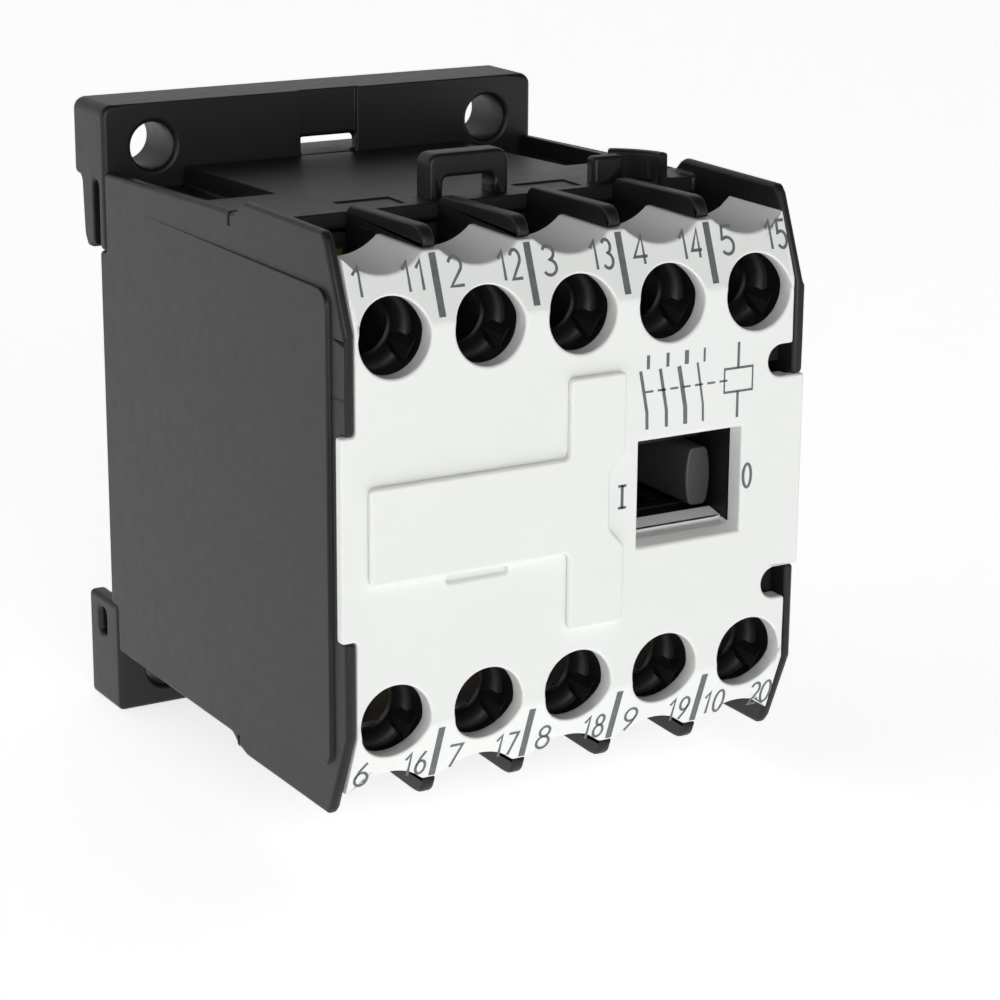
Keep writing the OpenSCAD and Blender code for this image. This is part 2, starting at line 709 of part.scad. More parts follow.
module armature_pin() {
    color(steel)
        y_bar(armature_x + armature_t / 2, core_back + 0.1 + cheek_t, up(0), pin_r, stack_t + 2 * cheek_t + 0.2);
}

module return_springs() {
    r = 1.2;
    wire = 0.45;
    color(steel) for (s = [-1, 1]) difference() {
        x_bar(bobbin_right, spring_y, up(s * spring_z), r, arm_x - bobbin_right);
        x_bar(bobbin_right - 1, spring_y, up(s * spring_z), r - wire, arm_x - bobbin_right + 2);
    }
}

// ---- Magnet and coil ----

groove_w = 1;
groove_d = 1.4;
groove_y = core_back - 5.1;

module magnet_core() {
    color(steel) difference() {
        union() {
            block([core_left, core_front, up(-core_half)], [core_left + yoke_w, core_back, up(core_half)]);
            both_ends()
                block([core_left, core_front, core_half - leg_h], [core_face, core_back, core_half]);
            block([core_left, core_front, up(-mid_leg_h / 2)], [core_face, core_back, up(mid_leg_h / 2)]);
        }
        both_ends() block([core_face - groove_d, groove_y, core_half - leg_h - 1], [core_face + 1, groove_y + groove_w, core_half + 1]);
    }
}

module shading_rings() {
    wire = 0.9;
    gap = run_gap;
    ring_l = groove_d - 0.1;
    color(copper) both_ends() difference() {
        block([core_face - 0.05, groove_y + groove_w - gap, core_half - leg_h - gap - wire],
              [core_face - 0.05 - ring_l, core_front - gap - wire, core_half + gap + wire]);
        block([core_face + 1, groove_y + gap, core_half - leg_h - gap],
              [core_face - 3, core_front - gap, core_half + gap]);
    }
}

module coil_bobbin() {
    tube = 1.1;
    leg_gap = 0.1;
    tube_front = core_front - leg_gap - tube;
    tube_back = core_back + leg_gap + tube;
    tube_half = mid_leg_h / 2 + leg_gap + tube;
    color(dark) difference() {
        union() {
            for (x = [bobbin_left, bobbin_right - bobbin_flange])
                block([x, bobbin_front, up(-bobbin_half)], [x + bobbin_flange, bobbin_back, up(bobbin_half)]);
            block([bobbin_left, tube_front, up(-tube_half)], [bobbin_right, tube_back, up(tube_half)]);
        }
        block([bobbin_left - 1, core_front - leg_gap, up(-mid_leg_h / 2 - leg_gap)],
              [bobbin_right + 1, core_back + leg_gap, up(mid_leg_h / 2 + leg_gap)]);
    }
}

module coil_winding() {
    in = 0.7;
    r = 4;
    tube = 1.2;
    left = bobbin_left + bobbin_flange;
    length = bobbin_right - bobbin_flange - left;
    color(copper) difference() {
        side_profile(left, length)
            polygon(rounded(bobbin_front + in, up(-bobbin_half + 1.4), bobbin_back - in, up(bobbin_half - 1.4), r));
        block([left - 1, core_front - tube, up(-mid_leg_h / 2 - tube)],
              [left + length + 1, core_back + tube, up(mid_leg_h / 2 + tube)]);
    }
}

// ---- Current path ----

// Terminal plate, its narrow lower end and the leg that runs back to the contact.
module terminal_strip(i, leg_low, leg_high, leg_back) {
    difference() {
        union() {
            block([-plate_w / 2, plate_y - plate_t, plate_low], [plate_w / 2, plate_y, plate_high]);
            block([leg_x, plate_y - plate_t, leg_low], [leg_x + 2, plate_y, plate_low + 0.5]);
            block([leg_x, plate_y - plate_t, leg_low], [leg_x + leg_w, leg_back, leg_high]);
        }
        y_bar(0, plate_y + 1, row_half, screw_r + run_gap, plate_t + 2);
    }
}

module fixed_contact(i, s) {
    color(brass) translate([pole_x(i), 0, housing_rise]) scale_z(s) terminal_strip(i, 5, 9.2, contact_y + 2.2);
}

module coil_terminal(s) {
    color(brass) translate([pole_x(contacts), 0, housing_rise]) scale_z(s)
        terminal_strip(contacts, 7.6, 10.2, bobbin_front + 1.8);
}

module fixed_tips() {
    color(silver) for (i = [0:contacts - 1], s = [-1, 1])
        x_bar(pole_x(i) + leg_x + leg_w, contact_y, up(s * tip_z), tip_r, tip_h);
}

module coil_leads() {
    lead_r = 0.4;
    from = [pole_x(contacts) + leg_x - 0.03, bobbin_front + 1.2, 8.9];
    to = [bobbin_right + 0.1, bobbin_front + 1.6, 11.6];
    run = to - from;
    bend = atan2(-run.z, -run.x);
    color(copper) both_ends() difference() {
        translate(from) rotate([0, 0, atan2(run.y, run.x) - 180])
            rotate([0, bend - 90, 0]) cylinder(r = lead_r, h = norm(run) + 1, $fn = 24);
        block([bobbin_right, -40, 0], [bobbin_right - 5, 0, 20]);
        block([from.x, -40, 0], [from.x + 5, 0, 20]);
    }
}

module bridge_contact(i) {
    color(copper) block([pole_x(i) + bridge_x, contact_y - bridge_w / 2, up(-bridge_half)],
                        [pole_x(i) + bridge_x + bridge_t, contact_y + bridge_w / 2, up(bridge_half)]);
}

module bridge_tips(i) {
    color(silver) for (s = [-1, 1])
        x_bar(pole_x(i) + bridge_x - bridge_tip_h, contact_y, up(s * tip_z), tip_r, bridge_tip_h);
}

module contact_springs() {
    r = 1.4;
    wire = 0.4;
    length = bay_w - bridge_t;
    color(steel) for (i = [0:contacts - 1]) difference() {
        x_bar(pole_x(i) + bridge_x + bridge_t, contact_y, up(0), r, length);
        x_bar(pole_x(i) + bridge_x + bridge_t - 1, contact_y, up(0), r - wire, length + 2);
    }
}

// ---- Terminal screws and their washers ----

module terminal_screw(i, s) {
    under_head = plate_y - plate_t - washer_t;
    slot_w = 0.9;
    slot_d = 1.1;
    tip = 0.6;
    color(steel) translate([pole_x(i), 0, up(s * row_half)]) difference() {
        union() {
            y_bar(0, under_head, 0, head_r, head_h);
            y_bar(0, under_head + shank_l - tip, 0, screw_r, shank_l - tip + 0.5);
            translate([0, under_head + shank_l, 0]) rotate([90, 0, 0])
                cylinder(r1 = screw_r - 0.5, r2 = screw_r, h = tip, $fn = fine);
        }
        block([-head_r - 1, under_head - head_h + slot_d, -slot_w / 2], [head_r + 1, under_head - head_h - 1, slot_w / 2]);
        block([-slot_w / 2, under_head - head_h + slot_d, -1.8], [slot_w / 2, under_head - head_h - 1, 1.8]);
    }
}

module clamp_washer(i, s) {
    back = plate_y - plate_t;
    lip = 0.35;
    color(silver) translate([pole_x(i), 0, up(s * row_half)]) difference() {
        block([-washer_w / 2, back, -washer_w / 2], [washer_w / 2, back - washer_t, washer_w / 2]);
        y_bar(0, back + 1, 0, screw_r + run_gap, washer_t + 2);
        for (x = [-1, 1]) block([x * washer_w / 2 + 1, back + 1, -1.4 * x], [x * (washer_w / 2 - lip), back - washer_t - 1, 1.4 * x]);
    }
}

base_plate();
rail_spring();
housing_shell();
contact_block();
front_cover();
label_plate();
contact_carrier();
indicator_slider();
armature();
armature_pin();
magnet_core();
shading_rings();
core_cushions();
coil_bobbin();
coil_winding();
return_springs();
contact_springs();
fixed_tips();
coil_terminal(1);  // coil_terminal_top
coil_terminal(-1);  // coil_terminal_bottom
coil_leads();
for (i = [0:contacts - 1]) {
    bridge_contact(i);
    bridge_tips(i);
    fixed_contact(i, 1);
    fixed_contact(i, -1);
}
for (i = [0:poles - 1]) {
    terminal_screw(i, 1);
    terminal_screw(i, -1);
    clamp_washer(i, 1);
    clamp_washer(i, -1);
}
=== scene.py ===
"""Finished surfaces, print and materials for a small rail-mounted contactor.

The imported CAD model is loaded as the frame. Visible mouldings get rounded edges, the screws, springs
and winding get their true form, and the front gets its printed marks.
"""

import json
import math

import bmesh
import bpy
import numpy as np
from mathutils import Matrix, Vector


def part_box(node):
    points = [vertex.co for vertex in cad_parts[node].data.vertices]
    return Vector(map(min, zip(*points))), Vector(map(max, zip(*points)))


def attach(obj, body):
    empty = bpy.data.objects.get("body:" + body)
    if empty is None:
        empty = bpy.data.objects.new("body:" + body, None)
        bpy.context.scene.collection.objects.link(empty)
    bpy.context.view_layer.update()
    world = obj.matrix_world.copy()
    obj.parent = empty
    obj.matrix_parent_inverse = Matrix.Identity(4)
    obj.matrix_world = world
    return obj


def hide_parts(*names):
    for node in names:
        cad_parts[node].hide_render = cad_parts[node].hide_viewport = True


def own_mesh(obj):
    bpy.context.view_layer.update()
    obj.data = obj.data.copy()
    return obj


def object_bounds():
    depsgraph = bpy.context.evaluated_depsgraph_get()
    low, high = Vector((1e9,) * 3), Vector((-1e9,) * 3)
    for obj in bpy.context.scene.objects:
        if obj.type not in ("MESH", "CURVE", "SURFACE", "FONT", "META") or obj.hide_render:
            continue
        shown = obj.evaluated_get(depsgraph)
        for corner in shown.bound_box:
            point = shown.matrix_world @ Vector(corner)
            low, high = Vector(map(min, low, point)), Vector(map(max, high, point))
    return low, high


bl_info = {
    "name": "Rail contactor finish",
    "version": (1, 0, 0),
    "blender": (4, 5, 0),
    "location": "View3D > Sidebar > Contactor",
    "description": "Rounded mouldings, screws, springs, print and materials of a rail-mounted contactor",
    "category": "Object",
}

MM = 0.001
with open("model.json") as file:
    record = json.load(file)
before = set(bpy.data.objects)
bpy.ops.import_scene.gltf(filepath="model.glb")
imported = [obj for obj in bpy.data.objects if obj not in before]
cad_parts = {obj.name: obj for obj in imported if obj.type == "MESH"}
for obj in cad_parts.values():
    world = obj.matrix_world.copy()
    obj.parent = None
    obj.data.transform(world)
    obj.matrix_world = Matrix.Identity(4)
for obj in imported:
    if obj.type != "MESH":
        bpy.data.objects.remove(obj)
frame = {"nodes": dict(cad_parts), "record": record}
CAD_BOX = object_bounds()
BODY = "base"
CARRIER = "carrier"
POLES = 5
CONTACTS = 4


def corners(node):
    """Lowest and highest corner of a CAD node, as arrays in metres."""
    low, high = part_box(node)
    return np.array(low), np.array(high)


COVER_LOW, COVER_HIGH = corners("front_cover")
SHELL_HIGH = corners("housing_shell")[1]
MIDDLE_Z = (COVER_LOW[2] + COVER_HIGH[2]) / 2
FRONT_Y = COVER_LOW[1]
# Beyond BEND from the middle, the cover's front falls back by SLOPE for each unit of height.
BEND = 16.8 * MM
SLOPE = 3.0 / 7.8
# Only the pole walls' crests, farther than this from the middle, get round edges.
CREST_FOOT = 22.7 * MM
# The top deck, whose shallow recesses leave no room to round.
DECK_HALF_WIDTH = 21 * MM
DECK_FRONT = -36.9 * MM
DECK_LIFT = 23.35 * MM
# The side panels.
PANEL_DEPTH = 0.35 * MM
PANEL_BACK = -14.6 * MM
PANEL_FRONT = FRONT_Y + 2.4 * MM
PANEL_HALF_HEIGHT = 20.2 * MM
TIP_HEIGHT = 0.6 * MM
# A screw's corner below the head and nearer to the axis than this is on the shank.
SHANK_LIMIT = 2.0 * MM
HEAD_HEIGHT = 2.2 * MM
THREAD_ROOT = 1.36 * MM
THREAD_CREST = 1.67 * MM
THREAD_PITCH = 0.7 * MM
WINDING_WIRE = 0.42 * MM
WINDING_CORNER = 3.9 * MM
LEAD_RADIUS = 0.36 * MM
LEAD_SAG = 0.35 * MM
# The print, measured from the middle of the cover or of a pole.
DIVIDER_START = 17.4 * MM
DIVIDER_END = 22.3 * MM
FIGURE_MIDDLE = 20.7 * MM
LEFT_FIGURE = -2.5 * MM
RIGHT_FIGURE = 2.55 * MM


def pole_x(index):
    """Middle of a pole, counted from the left."""
    screw_low, screw_high = corners(f"screw_top_{index + 1}")
    return (screw_low[0] + screw_high[0]) / 2


PITCH = pole_x(1) - pole_x(0)

# ---------------------------------------------------------------- settings


class ContactorEdges(bpy.types.PropertyGroup):
    """Edge radii of the mouldings."""

    housing: bpy.props.FloatProperty(
        name="Housing edge", description="Radius on the housing's edges", default=0.4 * MM, unit="LENGTH")
    base: bpy.props.FloatProperty(
        name="Base edge", description="Radius on the base plate's edges", default=0.5 * MM, unit="LENGTH")
    walls: bpy.props.FloatProperty(
        name="Pole wall edge", description="Radius on the walls between the poles", default=0.3 * MM,
        unit="LENGTH")
    cover: bpy.props.FloatProperty(
        name="Cover edge", description="Radius on the front cover's edges", default=0.25 * MM, unit="LENGTH")
    label: bpy.props.FloatProperty(
        name="Label edge", description="Radius on the label plate's edges", default=0.55 * MM, unit="LENGTH")
    metal: bpy.props.FloatProperty(
        name="Metal edge", description="Radius on stamped metal edges", default=0.1 * MM, unit="LENGTH")


class ContactorPlastics(bpy.types.PropertyGroup):
    """Colours and grain of the mouldings."""

    housing: bpy.props.FloatVectorProperty(
        name="Housing", description="Colour of the housing and the base", subtype="COLOR", size=3,
        default=(0.009, 0.009, 0.0095), min=0, max=1)
    inner: bpy.props.FloatVectorProperty(
        name="Inner parts", description="Colour of the contact block and the carrier", subtype="COLOR",
        size=3, default=(0.007, 0.007, 0.007), min=0, max=1)
    cover: bpy.props.FloatVectorProperty(
        name="Cover", description="Colour of the front cover", subtype="COLOR", size=3,
        default=(0.83, 0.845, 0.825), min=0, max=1)
    grain: bpy.props.FloatProperty(
        name="Grain size", description="Size of the mould's spark grain", default=0.16 * MM, unit="LENGTH")
    gloss: bpy.props.FloatProperty(
        name="Roughness", description="Roughness of the housing", subtype="FACTOR", default=0.42,
        min=0, max=1)


class ContactorPrint(bpy.types.PropertyGroup):
    """Printed marks on the cover."""

    ink: bpy.props.FloatVectorProperty(
        name="Ink", description="Colour of the printed marks", subtype="COLOR", size=3,
        default=(0.115, 0.128, 0.132), min=0, max=1)
    height: bpy.props.FloatProperty(
        name="Figure height", description="Height of the terminal figures", default=2.35 * MM, unit="LENGTH")
    stroke: bpy.props.FloatProperty(
        name="Stroke", description="Stroke of the terminal figures", default=0.25 * MM, unit="LENGTH")
    divider: bpy.props.FloatProperty(
        name="Divider", description="Width of the dividing bars", default=0.62 * MM, unit="LENGTH")


class ContactorSprings(bpy.types.PropertyGroup):
    """Wire and turns of the springs."""

    wire: bpy.props.FloatProperty(
        name="Wire", description="Wire diameter of the return springs", default=0.36 * MM, unit="LENGTH")
    return_turns: bpy.props.IntProperty(
        name="Return turns", description="Turns of a return spring", default=9, min=3)
    contact_turns: bpy.props.IntProperty(
        name="Contact turns", description="Turns of a contact spring", default=6, min=3)


class ContactorStage(bpy.types.PropertyGroup):
    """Camera, light and floor."""

    lens: bpy.props.FloatProperty(
        name="Lens", description="Focal length of the camera in millimetres", default=105.0625)
    camera: bpy.props.FloatVectorProperty(
        name="Camera place", description="Place of the camera", subtype="TRANSLATION", size=3,
        default=(-0.12408, -0.25046, 0.06995))
    turn: bpy.props.FloatProperty(
        name="Camera turn", description="Turn of the view to the right", subtype="ANGLE",
        default=math.radians(30.4988))
    dip: bpy.props.FloatProperty(
        name="Camera dip", description="Angle that the view points down", subtype="ANGLE",
        default=math.radians(16.5319))
    roll: bpy.props.FloatProperty(
        name="Camera roll", description="Roll of the camera", subtype="ANGLE", default=math.radians(0.4062))
    floor_drop: bpy.props.FloatProperty(
        name="Floor drop", description="How far the floor is below the lowest point", default=0.0,
        unit="LENGTH")


# ---------------------------------------------------------------- mesh tools


def new_piece(name, mesh, body, slot, *nodes, finish=None):
    """Puts a mesh on its body with the finish of its slot, or the given finish, and hides the CAD nodes that
    it stands for.
    """
    piece = bpy.data.objects.new(name, mesh)
    bpy.context.scene.collection.objects.link(piece)
    mesh.materials.clear()
    mesh.materials.append(material_of(finish or slot))
    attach(piece, body)
    if nodes:
        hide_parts(*nodes)
    return piece


def mesh_from_arrays(name, points, quads):
    """A mesh from an (n, 3) array of points and an (m, 4) array of point numbers; smooth shaded."""
    mesh = bpy.data.meshes.new(name)
    mesh.vertices.add(len(points))
    mesh.vertices.foreach_set("co", np.asarray(points, dtype=np.float32).ravel())
    mesh.loops.add(quads.size)
    mesh.loops.foreach_set("vertex_index", quads.astype(np.int32).ravel())
    mesh.polygons.add(len(quads))
    mesh.polygons.foreach_set("loop_start", np.arange(0, quads.size, 4, dtype=np.int32))
    mesh.polygons.foreach_set("use_smooth", np.ones(len(quads), dtype=bool))
    mesh.update(calc_edges=True)
    return mesh


def grid_quads(rows, columns, wrap_rows=False, wrap_columns=False, start=0):
    """Quads of a rows by columns grid of points: point (r, c) is number start + r * columns + c."""
    r = np.arange(rows if wrap_rows else rows - 1)
    c = np.arange(columns if wrap_columns else columns - 1)
    r0, c0 = np.meshgrid(r, c, indexing="ij")
    r1, c1 = (r0 + 1) % rows, (c0 + 1) % columns
    number = lambda a, b: start + a * columns + b
    return np.stack([number(r0, c0), number(r0, c1), number(r1, c1), number(r1, c0)], axis=-1).reshape(-1, 4)


def closed_up(mesh):
    """Merges doubled points, drops faces without area and turns the faces outwards."""
    work = bmesh.new()
    work.from_mesh(mesh)
    bmesh.ops.remove_doubles(work, verts=work.verts, dist=1e-7)
    bmesh.ops.dissolve_degenerate(work, edges=work.edges, dist=1e-8)
    bmesh.ops.recalc_face_normals(work, faces=work.faces)
    work.to_mesh(mesh)
    work.free()
    mesh.update()
    return mesh


def vertex_places(mesh):
    """Every vertex of a mesh, as an (n, 3) array in metres."""
    points = np.empty(len(mesh.vertices) * 3, dtype=np.float32)
    mesh.vertices.foreach_get("co", points)
    return points.reshape(-1, 3).astype(float)


def move_vertices(mesh, points):
    """Puts every vertex of a mesh at its row of an (n, 3) array."""
    mesh.vertices.foreach_set("co", points.astype(np.float32).ravel())
    mesh.update()


def flat_shaded(mesh):
    """The same mesh with flat shading on every face."""
    mesh.polygons.foreach_set("use_smooth", np.zeros(len(mesh.polygons), dtype=bool))
    return mesh


def rounded_copy(node, body, slot, radius, segments=2, angle=28.0, where=None):
    """The CAD node's own surface with its sharp edges rounded.

    Flat faces are first joined from their triangles. Every edge that bends more than the given angle,
    and whose middle passes the where test, gets a round of the given radius.
    """
    source = frame["nodes"][node]
    mesh = source.data.copy()
    mesh.name = node + "_rounded"
    work = bmesh.new()
    work.from_mesh(mesh)
    bmesh.ops.remove_doubles(work, verts=work.verts, dist=3e-6)
    bmesh.ops.dissolve_degenerate(work, edges=work.edges, dist=2e-6)
    bmesh.ops.dissolve_limit(work, angle_limit=math.radians(0.6), verts=work.verts, edges=work.edges,
                             use_dissolve_boundaries=False)
    bmesh.ops.recalc_face_normals(work, faces=work.faces)
    for face in work.faces:
        face.smooth = True
    weight = work.edges.layers.float.new("bevel_weight_edge")
    for edge in work.edges:
        middle = (edge.verts[0].co + edge.verts[1].co) / 2
        if edge.calc_face_angle(0) > math.radians(angle):
            edge.smooth = False
            if where is None or where(middle):
                edge[weight] = room_at(edge, radius)
                edge.smooth = edge[weight] > 0.15
    work.to_mesh(mesh)
    work.free()
    piece = new_piece(node + "_finish", mesh, body, slot, node)
    bevel = piece.modifiers.new("Rounded edges", "BEVEL")
    bevel.width = radius
    bevel.segments = segments
    bevel.limit_method = "WEIGHT"
    bevel.use_clamp_overlap = False
    bevel.loop_slide = node != "base_plate"
    bevel.miter_outer = "MITER_ARC"
    weighted = piece.modifiers.new("Flat faces stay flat", "WEIGHTED_NORMAL")
    weighted.mode = "FACE_AREA"
    weighted.weight = 80
    weighted.keep_sharp = True
    return piece


def room_at(edge, radius):
    """The share of the radius that fits: at most 0.42 of the shortest edge that leaves this one sideways."""
    along = (edge.verts[1].co - edge.verts[0].co).normalized()
    room = edge.calc_length() * 4
    for vertex in edge.verts:
        for other in vertex.link_edges:
            if other is not edge:
                way = (other.verts[1].co - other.verts[0].co).normalized()
                if abs(way.dot(along)) < 0.8:
                    room = min(room, other.calc_length())
    return min(1.0, 0.42 * room / radius)


def carried_profile(path, profile, sideways):
    """A tube: a closed (m, 2) profile carried along an (n, 3) path.

    Each point of the path gets two unit vectors square to its direction, the first one nearest to
    the sideways vector, and the profile's two numbers are distances along them.
    """
    along = np.gradient(path, axis=0)
    along /= np.linalg.norm(along, axis=1, keepdims=True)
    sideways = np.broadcast_to(np.asarray(sideways, float), path.shape)
    first = sideways - along * (sideways * along).sum(1, keepdims=True)
    first /= np.linalg.norm(first, axis=1, keepdims=True)
    second = np.cross(along, first)
    return path[:, None] + first[:, None] * profile[None, :, :1] + second[:, None] * profile[None, :, 1:]


def capped(path, grid):
    """A grid carried along a path, closed by the path's own point at each end."""
    ends = path[[0, -1]][:, None] + np.zeros((1, grid.shape[1], 1))
    return np.concatenate([ends[:1], grid, ends[1:]])


def wire_grid(path, radius, sideways, around=10):
    """A round wire along a path, closed at both ends."""
    turn = np.linspace(0, 2 * np.pi, around, endpoint=False)
    profile = np.stack([np.cos(turn), np.sin(turn)], 1) * radius
    return capped(path, carried_profile(path, profile, sideways))


def turned_points(centre, axis, radii, places, around=40):
    """A body of revolution: radius r(s) at place p(s) along X or Y, as an (n, around, 3) array."""
    turn = np.linspace(0, 2 * np.pi, around, endpoint=False)
    r = np.asarray(radii, float)[:, None]
    along = np.asarray(places, float)[:, None] + np.zeros((1, around))
    if axis == "X":
        points = np.stack([along, r * np.cos(turn), r * np.sin(turn)], -1)
    else:
        points = np.stack([r * np.cos(turn), along, r * np.sin(turn)], -1)
    return points + np.asarray(centre, float)


def mesh_of_grids(name, grids, wrap_rows=False):
    """One mesh from several (rows, columns, 3) grids that are closed across their columns."""
    points, quads, start = [], [], 0
    for grid in grids:
        rows, columns = grid.shape[:2]
        points.append(grid.reshape(-1, 3))
        quads.append(grid_quads(rows, columns, wrap_rows=wrap_rows, wrap_columns=True, start=start))
        start += rows * columns
    return closed_up(mesh_from_arrays(name, np.vstack(points), np.vstack(quads)))


def helix_path(centre, radius, start, end, turns, flat=0.8, per_turn=36):
    """A coil about X: the angle runs evenly, and x = start + (end - start) q(t).

    q stays near 0 over the first flat turns and near 1 over the last ones, so that the end coils close up.
    """
    count = int(turns * per_turn) + 1
    turn = np.linspace(0, turns, count)
    share = np.clip((turn - flat) / (turns - 2 * flat), 0, 1)
    low = 0.12 * np.minimum(turn, flat) / flat
    high = 0.12 * np.maximum(turn - (turns - flat), 0) / flat
    q = low * 0.5 + share * 0.88 + high * 0.5
    along = start + (end - start) * q
    a, b = radius * np.cos(2 * np.pi * turn), radius * np.sin(2 * np.pi * turn)
    return np.stack([along, a, b], 1) + np.asarray(centre, float)


# ---------------------------------------------------------------- materials


class Shader:
    """A small helper around one node material."""

    def __init__(self, name):
        self.material = bpy.data.materials.new(name)
        self.material.use_nodes = True
        self.tree = self.material.node_tree
        self.tree.nodes.clear()
        self.out = self.node("ShaderNodeOutputMaterial")
        self.bsdf = self.node("ShaderNodeBsdfPrincipled")
        self.link(self.bsdf.outputs[0], self.out.inputs[0])
        self.place = self.node("ShaderNodeTexCoord").outputs["Object"]

    def node(self, kind, **values):
        """A new node of a kind, with its own properties set."""
        made = self.tree.nodes.new(kind)
        for key, value in values.items():
            setattr(made, key, value)
        return made

    def link(self, a, b):
        """Joins an output to an input."""
        self.tree.links.new(a, b)

    def noise(self, size, detail=3.0, roughness=0.5, stretch=(1, 1, 1)):
        """Noise with features of about the given size in metres."""
        mapping = self.node("ShaderNodeMapping")
        mapping.inputs["Scale"].default_value = tuple(s / size for s in stretch)
        self.link(self.place, mapping.inputs["Vector"])
        made = self.node("ShaderNodeTexNoise")
        made.inputs["Scale"].default_value = 1.0
        made.inputs["Detail"].default_value = detail
        made.inputs["Roughness"].default_value = roughness
        self.link(mapping.outputs[0], made.inputs["Vector"])
        return made.outputs["Fac"]

    def ramp(self, fac, *stops):
        """A ramp of (position, value or colour) stops."""
        made = self.node("ShaderNodeValToRGB")
        elements = made.color_ramp.elements
        while len(elements) < len(stops):
            elements.new(0.5)
        for element, (position, value) in zip(elements, stops):
            element.position = position
            colour = (value,) * 3 if isinstance(value, (int, float)) else tuple(value)
            element.color = (*colour, 1.0)
        self.link(fac, made.inputs[0])
        return made.outputs[0]

    def scaled(self, fac, low, high):
        """A number between low and high as fac goes from 0 to 1."""
        made = self.node("ShaderNodeMapRange")
        made.inputs["From Min"].default_value = 0.25
        made.inputs["From Max"].default_value = 0.75
        made.inputs["To Min"].default_value = low
        made.inputs["To Max"].default_value = high
        self.link(fac, made.inputs["Value"])
        return made.outputs[0]

    def bump(self, height, distance, strength=1.0, below=None):
        """A bump of the given depth in metres, over another one if it is given."""
        made = self.node("ShaderNodeBump")
        made.inputs["Strength"].default_value = strength
        made.inputs["Distance"].default_value = distance
        self.link(height, made.inputs["Height"])
        if below is not None:
            self.link(below, made.inputs["Normal"])
        return made.outputs[0]


def moulded(name, colour, roughness, grain, depth, mottle=0.025, specular=0.5, spread=0.03):
    """Moulded plastic: spark grain in the surface, slight mottling of colour and gloss."""
    s = Shader(name)
    colour = np.array(colour)
    cloud = s.noise(9 * MM, detail=4)
    fine = s.noise(grain, detail=2, roughness=0.6)
    s.link(s.ramp(cloud, (0.3, colour * (1 - mottle)), (0.7, np.minimum(colour * (1 + mottle), 1))),
           s.bsdf.inputs["Base Color"])
    s.link(s.scaled(s.noise(1.2 * MM, detail=3), roughness - spread, roughness + spread),
           s.bsdf.inputs["Roughness"])
    s.bsdf.inputs["Specular IOR Level"].default_value = specular
    waves = s.bump(s.noise(9 * MM, detail=1), 0.01 * MM, 0.3)
    s.link(s.bump(fine, depth, 0.6, waves), s.bsdf.inputs["Normal"])
    return s.material


def metal(name, colour, roughness, brushed=(1, 1, 1), size=0.25 * MM, depth=0.004 * MM, tint=0.1,
          spread=0.08):
    """Bare or plated metal: colour and gloss vary along the rolling or grinding direction."""
    s = Shader(name)
    colour = np.array(colour)
    streak = s.noise(size, detail=4, stretch=brushed)
    cloud = s.noise(3 * MM, detail=3)
    s.link(s.ramp(cloud, (0.3, colour * (1 - tint)), (0.7, np.minimum(colour * (1 + tint), 1))),
           s.bsdf.inputs["Base Color"])
    s.bsdf.inputs["Metallic"].default_value = 1.0
    s.link(s.scaled(streak, roughness - spread, roughness + spread), s.bsdf.inputs["Roughness"])
    s.link(s.bump(streak, depth, 0.7), s.bsdf.inputs["Normal"])
    return s.material


def laminated(name, colour, sheet, across):
    """A stack of sheets: a dark joint at every sheet's edge, counted along one axis."""
    s = Shader(name)
    split = s.node("ShaderNodeSeparateXYZ")
    s.link(s.place, split.inputs[0])
    step = s.node("ShaderNodeMath", operation="MULTIPLY")
    step.inputs[1].default_value = 1 / sheet
    s.link(split.outputs[across], step.inputs[0])
    part = s.node("ShaderNodeMath", operation="PINGPONG")
    part.inputs[1].default_value = 0.5
    s.link(step.outputs[0], part.inputs[0])
    joint = s.ramp(part.outputs[0], (0.02, 0.0), (0.12, 1.0))
    cloud = s.noise(2.5 * MM, detail=4)
    tone = s.ramp(cloud, (0.3, np.array(colour) * 0.8), (0.7, np.array(colour) * 1.15))
    mixed = s.node("ShaderNodeMix", data_type="RGBA", blend_type="MULTIPLY")
    mixed.inputs["Factor"].default_value = 0.6
    s.link(tone, mixed.inputs["A"])
    s.link(joint, mixed.inputs["B"])
    s.link(mixed.outputs["Result"], s.bsdf.inputs["Base Color"])
    s.bsdf.inputs["Metallic"].default_value = 1.0
    s.link(s.scaled(cloud, 0.32, 0.48), s.bsdf.inputs["Roughness"])
    s.link(s.bump(joint, 0.02 * MM, 0.8), s.bsdf.inputs["Normal"])
    return s.material


def printed_ink(name, colour):
    """Pad-printed ink: nearly matt, a little thinner in places."""
    s = Shader(name)
    colour = np.array(colour)
    s.link(s.ramp(s.noise(0.5 * MM, detail=3), (0.3, colour * 0.85), (0.75, colour * 1.25)),
           s.bsdf.inputs["Base Color"])
    s.link(s.scaled(s.noise(0.3 * MM), 0.45, 0.6), s.bsdf.inputs["Roughness"])
    s.link(s.bump(s.noise(0.12 * MM), 0.002 * MM, 0.5), s.bsdf.inputs["Normal"])
    return s.material


